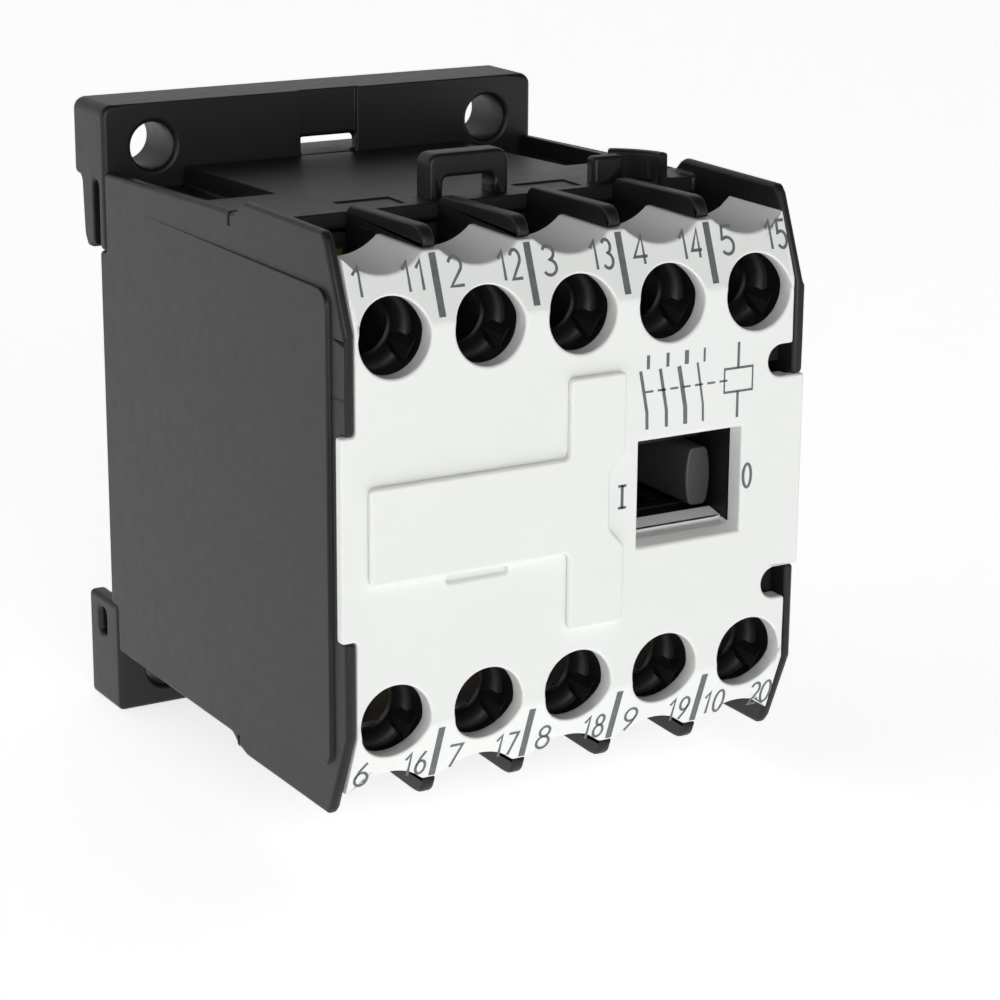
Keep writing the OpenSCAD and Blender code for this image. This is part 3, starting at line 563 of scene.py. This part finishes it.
def make_materials(scene):
    """Every finish of the object, by the name of its slot."""
    plastics = scene.contactor_plastics
    return {
        "black_plastic": moulded("Housing black", plastics.housing, plastics.gloss, plastics.grain,
                                 0.008 * MM, specular=0.36),
        "inner_plastic": moulded("Inner black", plastics.inner, 0.45, 0.2 * MM, 0.008 * MM, specular=0.36),
        "white_plastic": moulded("Cover white", plastics.cover, 0.42, 0.14 * MM, 0.004 * MM, mottle=0.01),
        "label_plastic": moulded("Label white", plastics.cover, 0.34, 0.3 * MM, 0.002 * MM, mottle=0.01),
        "indicator_plastic": moulded("Indicator black", (0.05, 0.05, 0.052), 0.4, 0.14 * MM, 0.008 * MM),
        "rail_spring_steel": metal("Rolled spring steel", (0.46, 0.46, 0.47), 0.3, (1, 8, 8)),
        "spring_wire": metal("Drawn wire", (0.5, 0.5, 0.52), 0.28, (1, 1, 1)),
        "laminated_iron": laminated("Laminated iron", (0.36, 0.36, 0.37), 0.5 * MM, "Y"),
        "pin_steel": metal("Ground pin", (0.55, 0.55, 0.57), 0.22, (8, 1, 8)),
        "ring_copper": metal("Bare copper", (0.72, 0.36, 0.2), 0.33),
        "enamelled_copper": metal("Enamelled copper", (0.42, 0.13, 0.045), 0.3, (1, 6, 6)),
        "cushion_rubber": moulded("Rubber", (0.03, 0.03, 0.03), 0.7, 0.3 * MM, 0.03 * MM, specular=0.3),
        "terminal_brass": metal("Terminal brass", (0.62, 0.44, 0.19), 0.34, (1, 1, 5)),
        "bridge_copper": metal("Bridge copper", (0.68, 0.33, 0.18), 0.36, (1, 1, 5)),
        "contact_silver": metal("Contact silver", (0.78, 0.77, 0.74), 0.3),
        "screw_zinc": metal("Zinc plated screw", (0.5, 0.51, 0.53), 0.34),
        "washer_zinc": metal("Zinc plated washer", (0.52, 0.53, 0.54), 0.38, (1, 1, 4)),
        "ink": printed_ink("Grey print", scene.contactor_print.ink),
    }


MATERIALS = {}


def material_of(slot):
    """The finish of a slot; all finishes are made at the first call."""
    if not MATERIALS:
        MATERIALS.update(make_materials(bpy.context.scene))
    return MATERIALS[slot]


# ---------------------------------------------------------------- pieces


class CONTACTOR_OT_finish_nodes(bpy.types.Operator):
    """Gives every CAD part the finish of its slot"""

    bl_idname = "contactor.finish_nodes"
    bl_label = "Finish CAD parts"

    def execute(self, context):
        for entry in frame["record"]["subparts"]:
            node = frame["nodes"][entry["node"]]
            finish = material_of(entry["material_slot"])
            for index in range(max(1, len(node.data.materials))):
                if index < len(node.data.materials):
                    node.data.materials[index] = finish
                else:
                    node.data.materials.append(finish)
        return {"FINISHED"}


class CONTACTOR_OT_housing(bpy.types.Operator):
    """Rounds the housing shell, the base plate and the contact block"""

    bl_idname = "contactor.housing"
    bl_label = "Housing and base"

    def execute(self, context):
        edges = context.scene.contactor_edges
        shell = rounded_copy("housing_shell", BODY, "black_plastic", edges.housing, 3, where=off_deck)
        raise_side_panels(shell.data)
        rounded_copy("base_plate", BODY, "black_plastic", edges.base, 3)
        rounded_copy("contact_block", BODY, "inner_plastic", edges.walls, 3,
                     where=lambda middle: abs(middle.z - MIDDLE_Z) > CREST_FOOT)
        make_guides()
        return {"FINISHED"}


def off_deck(middle):
    """True for a housing edge that isn't on the top deck."""
    return (abs(middle.x) > DECK_HALF_WIDTH or middle.y < DECK_FRONT
            or abs(middle.z - MIDDLE_Z - DECK_LIFT) > 0.2 * MM)


def raise_side_panels(mesh):
    """Swaps the step round each side panel: the panel lies on the side's plane and its border falls back.

    The border's depth grows towards the front as d(y) = d0 (y0 - y) / (y0 - y1) between the panel's ends.
    """
    side = SHELL_HIGH[0]
    points = vertex_places(mesh)
    x, y, z = points.T
    outer = (np.abs(x) > side - PANEL_DEPTH - 0.01 * MM) & (y < PANEL_BACK)
    inside = ((y > PANEL_FRONT - 0.01 * MM) & (np.abs(z - MIDDLE_Z) < PANEL_HALF_HEIGHT)
              & (np.abs(x) < side - 0.003 * MM))
    fall = np.where(inside, 0.0, PANEL_DEPTH * (PANEL_BACK - y) / (PANEL_BACK - PANEL_FRONT))
    points[:, 0] = np.where(outer, np.copysign(side - fall, x), x)
    move_vertices(mesh, points)


def make_guides():
    """A lip inside each screwdriver guide, which narrows it, and a stop rib at its lower right.

    The lip's section, in distance from the hole's axis and place along it, is a ring with a sloping mouth.
    The rib is a low prism that fades out towards the front.
    """
    mouth = FRONT_Y + 2.3 * MM
    outer, inner = 3.42 * MM, 2.5 * MM
    radii = [outer, inner + 0.35 * MM, inner, inner, outer, outer]
    places = mouth + np.array([1.2, 2.6, 2.9, 3.9, 4.0, 1.2]) * MM
    lips, ribs = [], []
    for index in range(POLES):
        for end in ("top", "bottom"):
            low, high = corners(f"screw_{end}_{index + 1}")
            x, z = (low[0] + high[0]) / 2, (low[2] + high[2]) / 2
            lips.append(turned_points((x, 0, z), "Y", radii, places, 56))
            ribs.append(rib_grid(x, z, mouth, outer))
    new_piece("guide_lips", mesh_of_grids("guide_lip_rings", lips), BODY, "inner_plastic")
    new_piece("guide_ribs", flat_shaded(mesh_of_grids("guide_rib_prisms", ribs)), BODY, "inner_plastic")


def rib_grid(x, z, mouth, radius):
    """A triangular rib on the guide's wall: its foot spans 44 degrees, and its crest runs in to the back."""
    foot = np.radians([-52.0, -8.0])
    rings = []
    for place, depth in ((mouth + 0.2 * MM, 0.05), (mouth + 2.4 * MM, 0.36)):
        a, b = [np.array([x + radius * np.cos(t), place, z + radius * np.sin(t)]) for t in foot]
        crest = (a + b) / 2
        crest = crest + (np.array([x, place, z]) - crest) * depth
        rings.append(np.stack([a, crest, b]))
    ends = [ring.mean(0)[None].repeat(3, 0) for ring in rings]
    return np.stack([ends[0], rings[0], rings[1], ends[1]])


class CONTACTOR_OT_cover(bpy.types.Operator):
    """Rounds the front cover and the label plate"""

    bl_idname = "contactor.cover"
    bl_label = "Cover and label plate"

    def execute(self, context):
        edges = context.scene.contactor_edges
        rounded_copy("front_cover", BODY, "white_plastic", edges.cover, 3)
        rounded_copy("label_plate", BODY, "label_plastic", edges.label, 4)
        return {"FINISHED"}


class CONTACTOR_OT_carrier(bpy.types.Operator):
    """Finishes the moving carrier with its indicator, armature and bridge contacts"""

    bl_idname = "contactor.carrier"
    bl_label = "Carrier and bridges"

    def execute(self, context):
        edges = context.scene.contactor_edges
        rounded_copy("contact_carrier", CARRIER, "inner_plastic", edges.metal * 1.5)
        rounded_copy("indicator_slider", CARRIER, "indicator_plastic", edges.metal * 2, 3)
        rounded_copy("armature", CARRIER, "laminated_iron", edges.metal)
        rounded_copy("armature_pin", CARRIER, "pin_steel", edges.metal)
        for index in range(1, CONTACTS + 1):
            body = f"bridge_{index}"
            rounded_copy(f"bridge_contact_{index}", body, "bridge_copper", edges.metal)
            node = f"bridge_tips_{index}"
            low, high = corners(node)
            x_base = high[0]
            grids = [tip_grid((x_base, (low[1] + high[1]) / 2, z), low[0] - x_base, (high[1] - low[1]) / 2)
                     for z in tip_heights(node)]
            new_piece(node + "_finish", mesh_of_grids(node + "_domes", grids), body, "contact_silver", node)
        return {"FINISHED"}


def node_points(node):
    """Every corner of a CAD node's mesh, as an (n, 3) array."""
    return vertex_places(frame["nodes"][node].data)


def tip_heights(node):
    """The heights of a node's contact tips: the middles of its lowest and highest tip."""
    low, high = corners(node)
    radius = (high[1] - low[1]) / 2
    return low[2] + radius, high[2] - radius


def tip_grid(foot, height, radius):
    """A riveted tip along X: place p = h (1 - 0.22 (r / R)^2) over the face, a rounded rim, then the side."""
    share = np.linspace(0, 0.9, 10)
    dome = height * (1 - 0.22 * share ** 2)
    turn = np.linspace(0, np.pi / 2, 6)
    rim_r = radius * (0.9 + 0.1 * np.sin(turn))
    rim_p = dome[-1] - 0.2 * height * (1 - np.cos(turn))
    radii = np.concatenate([share * radius, rim_r, [radius, 0.0]])
    places = np.concatenate([dome, rim_p, [0.0, 0.0]])
    return turned_points(foot, "X", radii, places, 40)


class CONTACTOR_OT_terminals(bpy.types.Operator):
    """Finishes the fixed contacts, the coil's terminals and the clamp washers"""

    bl_idname = "contactor.terminals"
    bl_label = "Terminals"

    def execute(self, context):
        edge = context.scene.contactor_edges.metal
        for end in ("top", "bottom"):
            for i in range(1, CONTACTS + 1):
                rounded_copy(f"fixed_contact_{end}_{i}", BODY, "terminal_brass", edge)
            rounded_copy(f"coil_terminal_{end}", BODY, "terminal_brass", edge)
            for i in range(1, POLES + 1):
                rounded_copy(f"washer_{end}_{i}", f"terminal_screw_{end}_{i}", "washer_zinc", edge)
        low, high = corners("fixed_tips")
        radius = (high[1] - low[1]) / 2
        grids = []
        for index in range(CONTACTS):
            foot_x = low[0] + PITCH * index
            for z in tip_heights("fixed_tips"):
                grids.append(tip_grid((foot_x, (low[1] + high[1]) / 2, z), TIP_HEIGHT, radius))
        new_piece("fixed_tips_finish", mesh_of_grids("fixed_tips_domes", grids), BODY, "contact_silver",
                  "fixed_tips")
        return {"FINISHED"}


class CONTACTOR_OT_screws(bpy.types.Operator):
    """Gives the terminal screws rounded heads, a waisted shank and a thread"""

    bl_idname = "contactor.screws"
    bl_label = "Terminal screws"

    def execute(self, context):
        for end in ("top", "bottom"):
            for index in range(1, POLES + 1):
                make_screw(f"screw_{end}_{index}", f"terminal_screw_{end}_{index}")
        return {"FINISHED"}


def make_screw(node, body):
    """A rounded copy of the screw with its shank drawn in to the thread's root, and a helical ridge.

    The ridge's profile, in distance from the axis and along it, is a low trapezium. It is carried along
    x = r cos(a), z = r sin(a), y = y0 + pitch a / (2 pi), and its height fades in and out over half a turn.
    """
    low, high = corners(node)
    centre = (low + high) / 2
    under_head = low[1] + HEAD_HEIGHT
    piece = rounded_copy(node, body, "screw_zinc", 0.18 * MM, 3, 50)
    points = vertex_places(piece.data)
    offset = points[:, [0, 2]] - centre[[0, 2]]
    distance = np.hypot(offset[:, 0], offset[:, 1])
    shank = (points[:, 1] > under_head - 0.01 * MM) & (distance > THREAD_ROOT) & (distance < SHANK_LIMIT)
    points[np.ix_(shank, [0, 2])] = centre[[0, 2]] + offset[shank] * (THREAD_ROOT / distance[shank, None])
    move_vertices(piece.data, points)
    first, last = under_head + 0.5 * MM, high[1] - 0.7 * MM
    turns = (last - first) / THREAD_PITCH
    angle = np.linspace(0, 2 * np.pi * turns, int(turns * 28) + 1)
    out = np.stack([np.cos(angle), np.zeros_like(angle), np.sin(angle)], 1)
    path = out * (THREAD_ROOT - 0.02 * MM) + np.array([centre[0], 0, centre[2]])
    path[:, 1] = first + (last - first) * angle / angle[-1]
    fade = np.clip(np.minimum(angle, angle[-1] - angle) / np.pi, 0.05, 1)
    height = THREAD_CREST - THREAD_ROOT + 0.02 * MM
    profile = np.array([(0, -0.3 * MM), (height, -0.07 * MM), (height, 0.07 * MM), (0, 0.3 * MM)])
    grid = (path[:, None] + out[:, None] * profile[None, :, :1] * fade[:, None, None]
            + np.array([0, 1.0, 0]) * profile[None, :, 1:] * fade[:, None, None])
    new_piece(node + "_thread", mesh_of_grids(node + "_ridge", [capped(path, grid)]), body, "screw_zinc")


class CONTACTOR_OT_magnet(bpy.types.Operator):
    """Finishes the magnet core, its shading rings and cushions, the bobbin, the winding and its leads"""

    bl_idname = "contactor.magnet"
    bl_label = "Magnet and coil"

    def execute(self, context):
        edge = context.scene.contactor_edges.metal
        rounded_copy("magnet_core", BODY, "laminated_iron", edge)
        rounded_copy("shading_rings", BODY, "ring_copper", edge * 1.5)
        rounded_copy("core_cushions", BODY, "cushion_rubber", edge * 1.5)
        rounded_copy("coil_bobbin", BODY, "inner_plastic", edge * 2)
        make_winding()
        make_leads()
        return {"FINISHED"}


def make_winding():
    """The winding's outside: a rounded rectangle carried along X, drawn in between the turns of wire.

    With u the share of one turn, the surface is drawn in by (w / 2) (1 - sqrt(1 - (2 u - 1)^2)).
    """
    low, high = corners("coil_winding")
    tube_low, tube_high = corners("magnet_core")
    wire, corner = WINDING_WIRE, WINDING_CORNER
    turns = int((high[0] - low[0]) / wire)
    steps = np.arange(turns * 6 + 1) / 6
    share = steps % 1
    inwards = wire / 2 * (1 - np.sqrt(np.clip(1 - (2 * share - 1) ** 2, 0, 1))) * 0.8
    along = low[0] + (high[0] - low[0]) * steps / turns
    turn = np.pi / 2 * (np.arange(4)[:, None] + np.arange(13) / 12)
    normal = np.stack([np.cos(turn), np.sin(turn)], -1)
    upper = np.array([(1, 1), (0, 1), (0, 0), (1, 0)], dtype=bool)
    centres = np.where(upper, high[1:] - corner, low[1:] + corner)
    outline = (centres[:, None] + normal * corner).reshape(-1, 2)
    normal = normal.reshape(-1, 2)
    rings = outline[None] - normal[None] * inwards[:, None, None]
    inner_low = np.array([(low[1] + high[1]) / 2 - 6 * MM, MIDDLE_Z - 4.8 * MM])
    inner_high = np.array([(low[1] + high[1]) / 2 + 4.9 * MM, MIDDLE_Z + 4.8 * MM])
    inner_low[0] = max(inner_low[0], tube_low[1] - 1.25 * MM)
    inner_high[0] = min(inner_high[0], tube_high[1] + 1.25 * MM)
    inner = np.clip(outline, inner_low, inner_high)
    rings = np.concatenate([inner[None], rings, inner[None]])
    along = np.concatenate([along[:1], along, along[-1:]])
    grid = np.concatenate([np.broadcast_to(along[:, None, None], rings.shape[:2] + (1,)), rings], -1)
    new_piece("coil_winding_finish", mesh_of_grids("coil_turns", [grid], wrap_rows=True), BODY,
              "enamelled_copper", "coil_winding")


def make_leads():
    """Each lead is a wire whose middle sags: p(t) = a + (b - a) t + d 4 t (1 - t)."""
    points = node_points("coil_leads")
    grids = []
    t = np.linspace(0, 1, 25)[:, None]
    for sign in (1, -1):
        side = points[(points[:, 2] - MIDDLE_Z) * sign > 0]
        left = side[side[:, 0] < side[:, 0].min() + 0.02 * MM].mean(0)
        right = side[side[:, 0] > side[:, 0].max() - 0.02 * MM].mean(0)
        path = left + (right - left) * t + np.array([0, 0, -LEAD_SAG * sign]) * 4 * t * (1 - t)
        grids.append(wire_grid(path, LEAD_RADIUS, (0, 1, 0), 14))
    new_piece("coil_leads_finish", mesh_of_grids("lead_wires", grids), BODY, "enamelled_copper", "coil_leads")


class CONTACTOR_OT_springs(bpy.types.Operator):
    """Winds the return springs and the contact springs, and finishes the rail spring"""

    bl_idname = "contactor.springs"
    bl_label = "Springs"

    def execute(self, context):
        springs = context.scene.contactor_springs
        rounded_copy("rail_spring", BODY, "rail_spring_steel", 0.08 * MM)
        low, high = corners("return_springs")
        radius = (high[1] - low[1]) / 2 - springs.wire / 2
        for number, z in enumerate((low[2] + (high[1] - low[1]) / 2, high[2] - (high[1] - low[1]) / 2), 1):
            path = helix_path((0, (low[1] + high[1]) / 2, z), radius, low[0] + springs.wire / 2,
                              high[0] - springs.wire / 2, springs.return_turns)
            mesh = mesh_of_grids("return_coil", [wire_grid(path, springs.wire / 2, (1, 0, 0))])
            nodes = ("return_springs",) if number == 1 else ()
            piece = new_piece(f"return_spring_{number}_coil", mesh, BODY, "spring_wire", *nodes)
            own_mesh(piece)
        low, high = corners("contact_springs")
        for index in range(CONTACTS):
            left = corners(f"bridge_contact_{index + 1}")[1][0]
            right = high[0] - PITCH * (CONTACTS - 1 - index)
            wire = springs.wire * 0.85
            path = helix_path((0, (low[1] + high[1]) / 2, (low[2] + high[2]) / 2),
                              (high[1] - low[1]) / 2 - wire / 2, left + wire / 2, right - wire / 2,
                              springs.contact_turns)
            mesh = mesh_of_grids("contact_coil", [wire_grid(path, wire / 2, (1, 0, 0))])
            nodes = ("contact_springs",) if index == 0 else ()
            piece = new_piece(f"contact_spring_{index + 1}_coil", mesh, CARRIER, "spring_wire", *nodes)
            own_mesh(piece)
        return {"FINISHED"}


class CONTACTOR_OT_print(bpy.types.Operator):
    """Prints the dividing bars, the plain figures, the position marks and the circuit symbol"""

    bl_idname = "contactor.print"
    bl_label = "Print"

    def execute(self, context):
        settings = context.scene.contactor_print
        strokes = []
        for sign in (1, -1):
            for wall in range(1, POLES):
                x = (pole_x(wall - 1) + pole_x(wall)) / 2
                ends = [(x, MIDDLE_Z + sign * z) for z in (DIVIDER_START, DIVIDER_END)]
                strokes.append((ends, settings.divider))
            for pole in range(POLES):
                count = pole + 1 + (POLES if sign < 0 else 0)
                base = MIDDLE_Z + sign * FIGURE_MIDDLE - settings.height / 2
                strokes += figure(str(count), pole_x(pole) + LEFT_FIGURE, base, settings)
                strokes += figure(str(count + 2 * POLES), pole_x(pole) + RIGHT_FIGURE, base, settings)
        strokes += symbol_strokes()
        make_print("front_print", strokes)
        return {"FINISHED"}


def arc(x, z, rx, rz, start, end, count=14):
    """Points on an ellipse about (x, z), from one angle in degrees to another."""
    a = np.radians(np.linspace(start, end, count))
    return [(x + rx * math.cos(t), z + rz * math.sin(t)) for t in a]


FIGURES = {
    "0": [arc(0.3, 0.5, 0.28, 0.48, 90, 450, 25)],
    "1": [[(0.1, 0.74), (0.36, 0.98), (0.36, 0.02)]],
    "2": [arc(0.3, 0.71, 0.26, 0.27, 160, -40) + [(0.05, 0.03), (0.58, 0.03)]],
    "3": [arc(0.28, 0.75, 0.24, 0.23, 150, -80) + arc(0.28, 0.27, 0.28, 0.25, 75, -150)],
    "4": [[(0.45, 0.02), (0.45, 0.98), (0.02, 0.28), (0.6, 0.28)]],
    "5": [[(0.54, 0.97), (0.13, 0.97), (0.08, 0.55)] + arc(0.28, 0.31, 0.28, 0.29, 120, -145)],
    "6": [arc(0.3, 0.3, 0.26, 0.28, 90, 450, 25), [(0.46, 0.98), (0.2, 0.68), (0.05, 0.36)]],
    "7": [[(0.03, 0.97), (0.57, 0.97), (0.2, 0.02)]],
    "8": [arc(0.3, 0.75, 0.22, 0.22, 90, 450, 21), arc(0.3, 0.27, 0.27, 0.26, 90, 450, 25)],
    "9": [arc(0.3, 0.7, 0.26, 0.28, 90, 450, 25), [(0.14, 0.02), (0.4, 0.32), (0.55, 0.64)]],
}


def figure(text, x, base, settings):
    """The strokes of a plain number, centred on x."""
    size = settings.height
    advance = 0.52 * size if len(text) > 1 else 0.6 * size
    left = x - advance * len(text) / 2
    width = 0.72 if len(text) > 1 else 0.95
    strokes = []
    for place, digit in enumerate(text):
        for line in FIGURES[digit]:
            points = [(left + place * advance + x * size * width, base + z * size) for x, z in line]
            strokes.append((points, settings.stroke))
    return strokes


def symbol_strokes():
    """A plain circuit symbol of four contacts and a coil, and the marks for open and closed.

    Every row is a width and the points of one line, in millimetres.
    """
    rows = [
        (0.3, (6.35, 12.5), (6.35, 11.3)), (0.3, (8.3, 12.5), (8.3, 11.3)), (0.4, (10.2, 12.5), (10.2, 11.3)),
        (0.2, (12.0, 12.5), (12.0, 11.3)),
        (0.3, (5.6, 11.2), (6.3, 7.6), (6.35, 6.1)), (0.3, (7.55, 11.2), (8.25, 7.6), (8.3, 6.1)),
        (0.4, (9.45, 11.2), (10.15, 7.6), (10.2, 6.1)), (0.2, (11.3, 11.3), (11.95, 7.6), (12.0, 6.1)),
        (0.25, (14.1, 10.35), (17.0, 10.35), (17.0, 8.3), (14.1, 8.3), (14.1, 10.35)),
        (0.25, (15.5, 12.6), (15.5, 10.35)), (0.25, (15.5, 8.3), (15.5, 6.0)),
        (0.28, (4.0, 1.6), (4.0, -0.5)), (0.22, (3.6, 1.5), (4.4, 1.5)), (0.22, (3.6, -0.4), (4.4, -0.4)),
    ]
    rows += [(0.18, (x, 9.35), (x + 0.8, 9.35)) for x in np.arange(6.1, 13.9, 1.25)]
    strokes = [([(x * MM, z * MM) for x, z in points], width * MM) for width, *points in rows]
    zero = arc(16.75, 0.65, 0.4, 1.05, 90, 450, 25)
    strokes.append(([(x * MM, z * MM) for x, z in zero], 0.26 * MM))
    return strokes


def make_print(name, strokes, proud=0.02 * MM, sunk=0.03 * MM):
    """Every stroke is a thin bar that follows the front's bend.

    A point (x, z) of its path lies at y = front + k max(|z - middle| - bend, 0), and the bar's four corners
    are at half the width to either side, a little before and a little behind that surface.
    """
    grids, loops = [], []
    for points, width in strokes:
        path = np.array(points, float)
        closed = np.allclose(path[0], path[-1]) and len(path) > 3
        if closed:
            path = path[:-1]
            along = np.roll(path, -1, 0) - np.roll(path, 1, 0)
        else:
            step = np.diff(path, axis=0)
            step /= np.linalg.norm(step, axis=1, keepdims=True)
            along = np.vstack([step[:1], step[1:] + step[:-1], step[-1:]])
        along /= np.linalg.norm(along, axis=1, keepdims=True)
        side = np.stack([-along[:, 1], along[:, 0]], 1)
        widen = np.ones(len(path))
        if not closed and len(path) > 2:
            cosine = np.abs((side[1:-1] * np.stack([-step[:-1, 1], step[:-1, 0]], 1)).sum(1))
            widen[1:-1] = 1 / np.clip(cosine, 0.6, 1)
        half = (width / 2 * widen)[:, None]
        left, right = path + side * half, path - side * half
        ring = np.stack([surface(left, proud), surface(right, proud),
                         surface(right, -sunk), surface(left, -sunk)], 1)
        if closed:
            loops.append(ring)
        else:
            grids.append(capped(surface(path, (proud - sunk) / 2), ring))
    for part, rings, wrap in (("lines", grids, False), ("loops", loops, True)):
        mesh = flat_shaded(mesh_of_grids(f"{name}_{part}", rings, wrap_rows=wrap))
        new_piece(f"{name}_{part}", mesh, BODY, "white_plastic", finish="ink")


def surface(points, lift):
    """Points (x, z) put on the front of the cover, moved forward by the lift."""
    bent = np.maximum(np.abs(points[:, 1] - MIDDLE_Z) - BEND, 0) * SLOPE
    return np.stack([points[:, 0], FRONT_Y + bent - lift, points[:, 1]], 1)


class CONTACTOR_OT_stage(bpy.types.Operator):
    """Sets the floor, the lights and the camera"""

    bl_idname = "contactor.stage"
    bl_label = "Stage"

    def execute(self, context):
        scene = context.scene
        stage = scene.contactor_stage
        make_floor(CAD_BOX[0][2] - stage.floor_drop)
        make_lights(scene)
        make_camera(scene, stage)
        return {"FINISHED"}


def make_floor(height):
    """A pale sweep: flat in front, then a quarter round, then upright, carried along X.

    Along the profile the place is y = s, z = 0 up to the round, then y = y0 + r sin(a),
    z = r (1 - cos(a)) for a from 0 to a right angle, then straight up.
    """
    radius, back, half, front, top = 0.6, 1.2, 3.5, -2.5, 3.0
    angle = np.linspace(0, np.pi / 2, 25)
    y = np.concatenate([[front], back + radius * np.sin(angle), [back + radius]])
    z = np.concatenate([[0.0], radius * (1 - np.cos(angle)), [top]])
    x = np.linspace(-half, half, 3)
    points = np.stack(np.broadcast_arrays(x[None, :], y[:, None], (z + height)[:, None]), -1).reshape(-1, 3)
    mesh = mesh_from_arrays("Floor", points, grid_quads(len(y), len(x)))
    floor = bpy.data.objects.new("Floor", mesh)
    s = Shader("Pale floor")
    s.link(s.ramp(s.noise(0.4, detail=2), (0.3, 0.9), (0.7, 0.915)), s.bsdf.inputs["Base Color"])
    s.bsdf.inputs["Roughness"].default_value = 0.9
    s.bsdf.inputs["Specular IOR Level"].default_value = 0.1
    s.bsdf.inputs["Emission Color"].default_value = (1, 1, 1, 1)
    split = s.node("ShaderNodeSeparateXYZ")
    s.link(s.place, split.inputs[0])
    s.link(s.ramp(split.outputs["Z"], (0.0, 0.72), (0.5, 0.12)), s.bsdf.inputs["Emission Strength"])
    mesh.materials.append(s.material)
    bpy.context.scene.collection.objects.link(floor)


def soft_light(name, place, target, size, power):
    """An area light at a place, facing a target."""
    data = bpy.data.lights.new(name, "AREA")
    data.shape = "RECTANGLE"
    data.size, data.size_y = size
    data.energy = power
    light = bpy.data.objects.new(name, data)
    light.location = place
    light.rotation_euler = (Vector(target) - Vector(place)).to_track_quat("-Z", "Y").to_euler()
    bpy.context.scene.collection.objects.link(light)
    return light


def make_lights(scene):
    """A surround that is bright at the horizon and dim overhead, and soft boxes in front and at the left.

    The surround's brightness falls from side to top as the view direction's height goes from 0 to 1.
    """
    world = bpy.data.worlds.new("Studio")
    world.use_nodes = True
    nodes, links = world.node_tree.nodes, world.node_tree.links
    background = nodes["Background"]
    place = nodes.new("ShaderNodeTexCoord")
    split = nodes.new("ShaderNodeSeparateXYZ")
    ramp = nodes.new("ShaderNodeValToRGB")
    ramp.color_ramp.elements[0].position = 0.0
    ramp.color_ramp.elements[0].color = (0.9, 0.9, 0.9, 1)
    ramp.color_ramp.elements[1].position = 0.6
    ramp.color_ramp.elements[1].color = (0.06, 0.06, 0.06, 1)
    links.new(place.outputs["Generated"], split.inputs[0])
    links.new(split.outputs["Z"], ramp.inputs[0])
    links.new(ramp.outputs[0], background.inputs["Color"])
    background.inputs["Strength"].default_value = 0.5
    scene.world = world
    soft_light("Front", (-0.25, -0.9, 0.15), (0, -0.05, 0), (0.7, 0.5), 4.4)
    soft_light("Left", (-0.9, 0.1, 0.2), (0, -0.03, 0), (0.6, 0.8), 1.35)
    soft_light("Overhead", (0.1, 0.15, 0.8), (0, -0.03, 0), (0.5, 0.5), 0.15)
    scene.view_settings.view_transform = "Standard"


def make_camera(scene, stage):
    """The view points along (sin a cos b, cos a cos b, -sin b) for a turn a and a dip b, then rolls."""
    data = bpy.data.cameras.new("Camera")
    data.lens = stage.lens
    data.sensor_width = 36.0
    data.clip_start = 0.01
    data.clip_end = 20.0
    camera = bpy.data.objects.new("Camera", data)
    turn, dip = stage.turn, stage.dip
    forward = Vector((math.sin(turn) * math.cos(dip), math.cos(turn) * math.cos(dip), -math.sin(dip)))
    level = forward.cross(Vector((0, 0, 1))).normalized()
    upright = level.cross(forward)
    right = level * math.cos(stage.roll) + upright * math.sin(stage.roll)
    up = right.cross(forward)
    matrix = Matrix((right, up, -forward)).transposed().to_4x4()
    matrix.translation = Vector(stage.camera)
    camera.matrix_world = matrix
    scene.collection.objects.link(camera)
    scene.camera = camera


# ---------------------------------------------------------------- panel and registration


class CONTACTOR_PT_panel(bpy.types.Panel):
    """Buttons and settings of the contactor's finish"""

    bl_idname = "CONTACTOR_PT_panel"
    bl_label = "Contactor"
    bl_space_type = "VIEW_3D"
    bl_region_type = "UI"
    bl_category = "Contactor"

    def draw(self, context):
        for name in SETTINGS:
            settings = getattr(context.scene, name)
            box = self.layout.box()
            for prop in settings.bl_rna.properties:
                if prop.identifier not in {"rna_type", "name"}:
                    box.prop(settings, prop.identifier)
        for operator in OPERATORS:
            self.layout.operator(operator.bl_idname)


SETTINGS = {
    "contactor_edges": ContactorEdges,
    "contactor_plastics": ContactorPlastics,
    "contactor_print": ContactorPrint,
    "contactor_springs": ContactorSprings,
    "contactor_stage": ContactorStage,
}
OPERATORS = (
    CONTACTOR_OT_finish_nodes,
    CONTACTOR_OT_housing,
    CONTACTOR_OT_cover,
    CONTACTOR_OT_carrier,
    CONTACTOR_OT_terminals,
    CONTACTOR_OT_screws,
    CONTACTOR_OT_magnet,
    CONTACTOR_OT_springs,
    CONTACTOR_OT_print,
    CONTACTOR_OT_stage,
)


def register():
    for settings in SETTINGS.values():
        bpy.utils.register_class(settings)
    for name, settings in SETTINGS.items():
        setattr(bpy.types.Scene, name, bpy.props.PointerProperty(type=settings))
    for cls in (*OPERATORS, CONTACTOR_PT_panel):
        bpy.utils.register_class(cls)


def unregister():
    for cls in reversed((*OPERATORS, CONTACTOR_PT_panel)):
        bpy.utils.unregister_class(cls)
    for name, settings in SETTINGS.items():
        delattr(bpy.types.Scene, name)
        bpy.utils.unregister_class(settings)


def main():
    register()
    for operator in OPERATORS:
        group, name = operator.bl_idname.split(".")
        getattr(getattr(bpy.ops, group), name)()


if __name__ == "__main__":
    main()
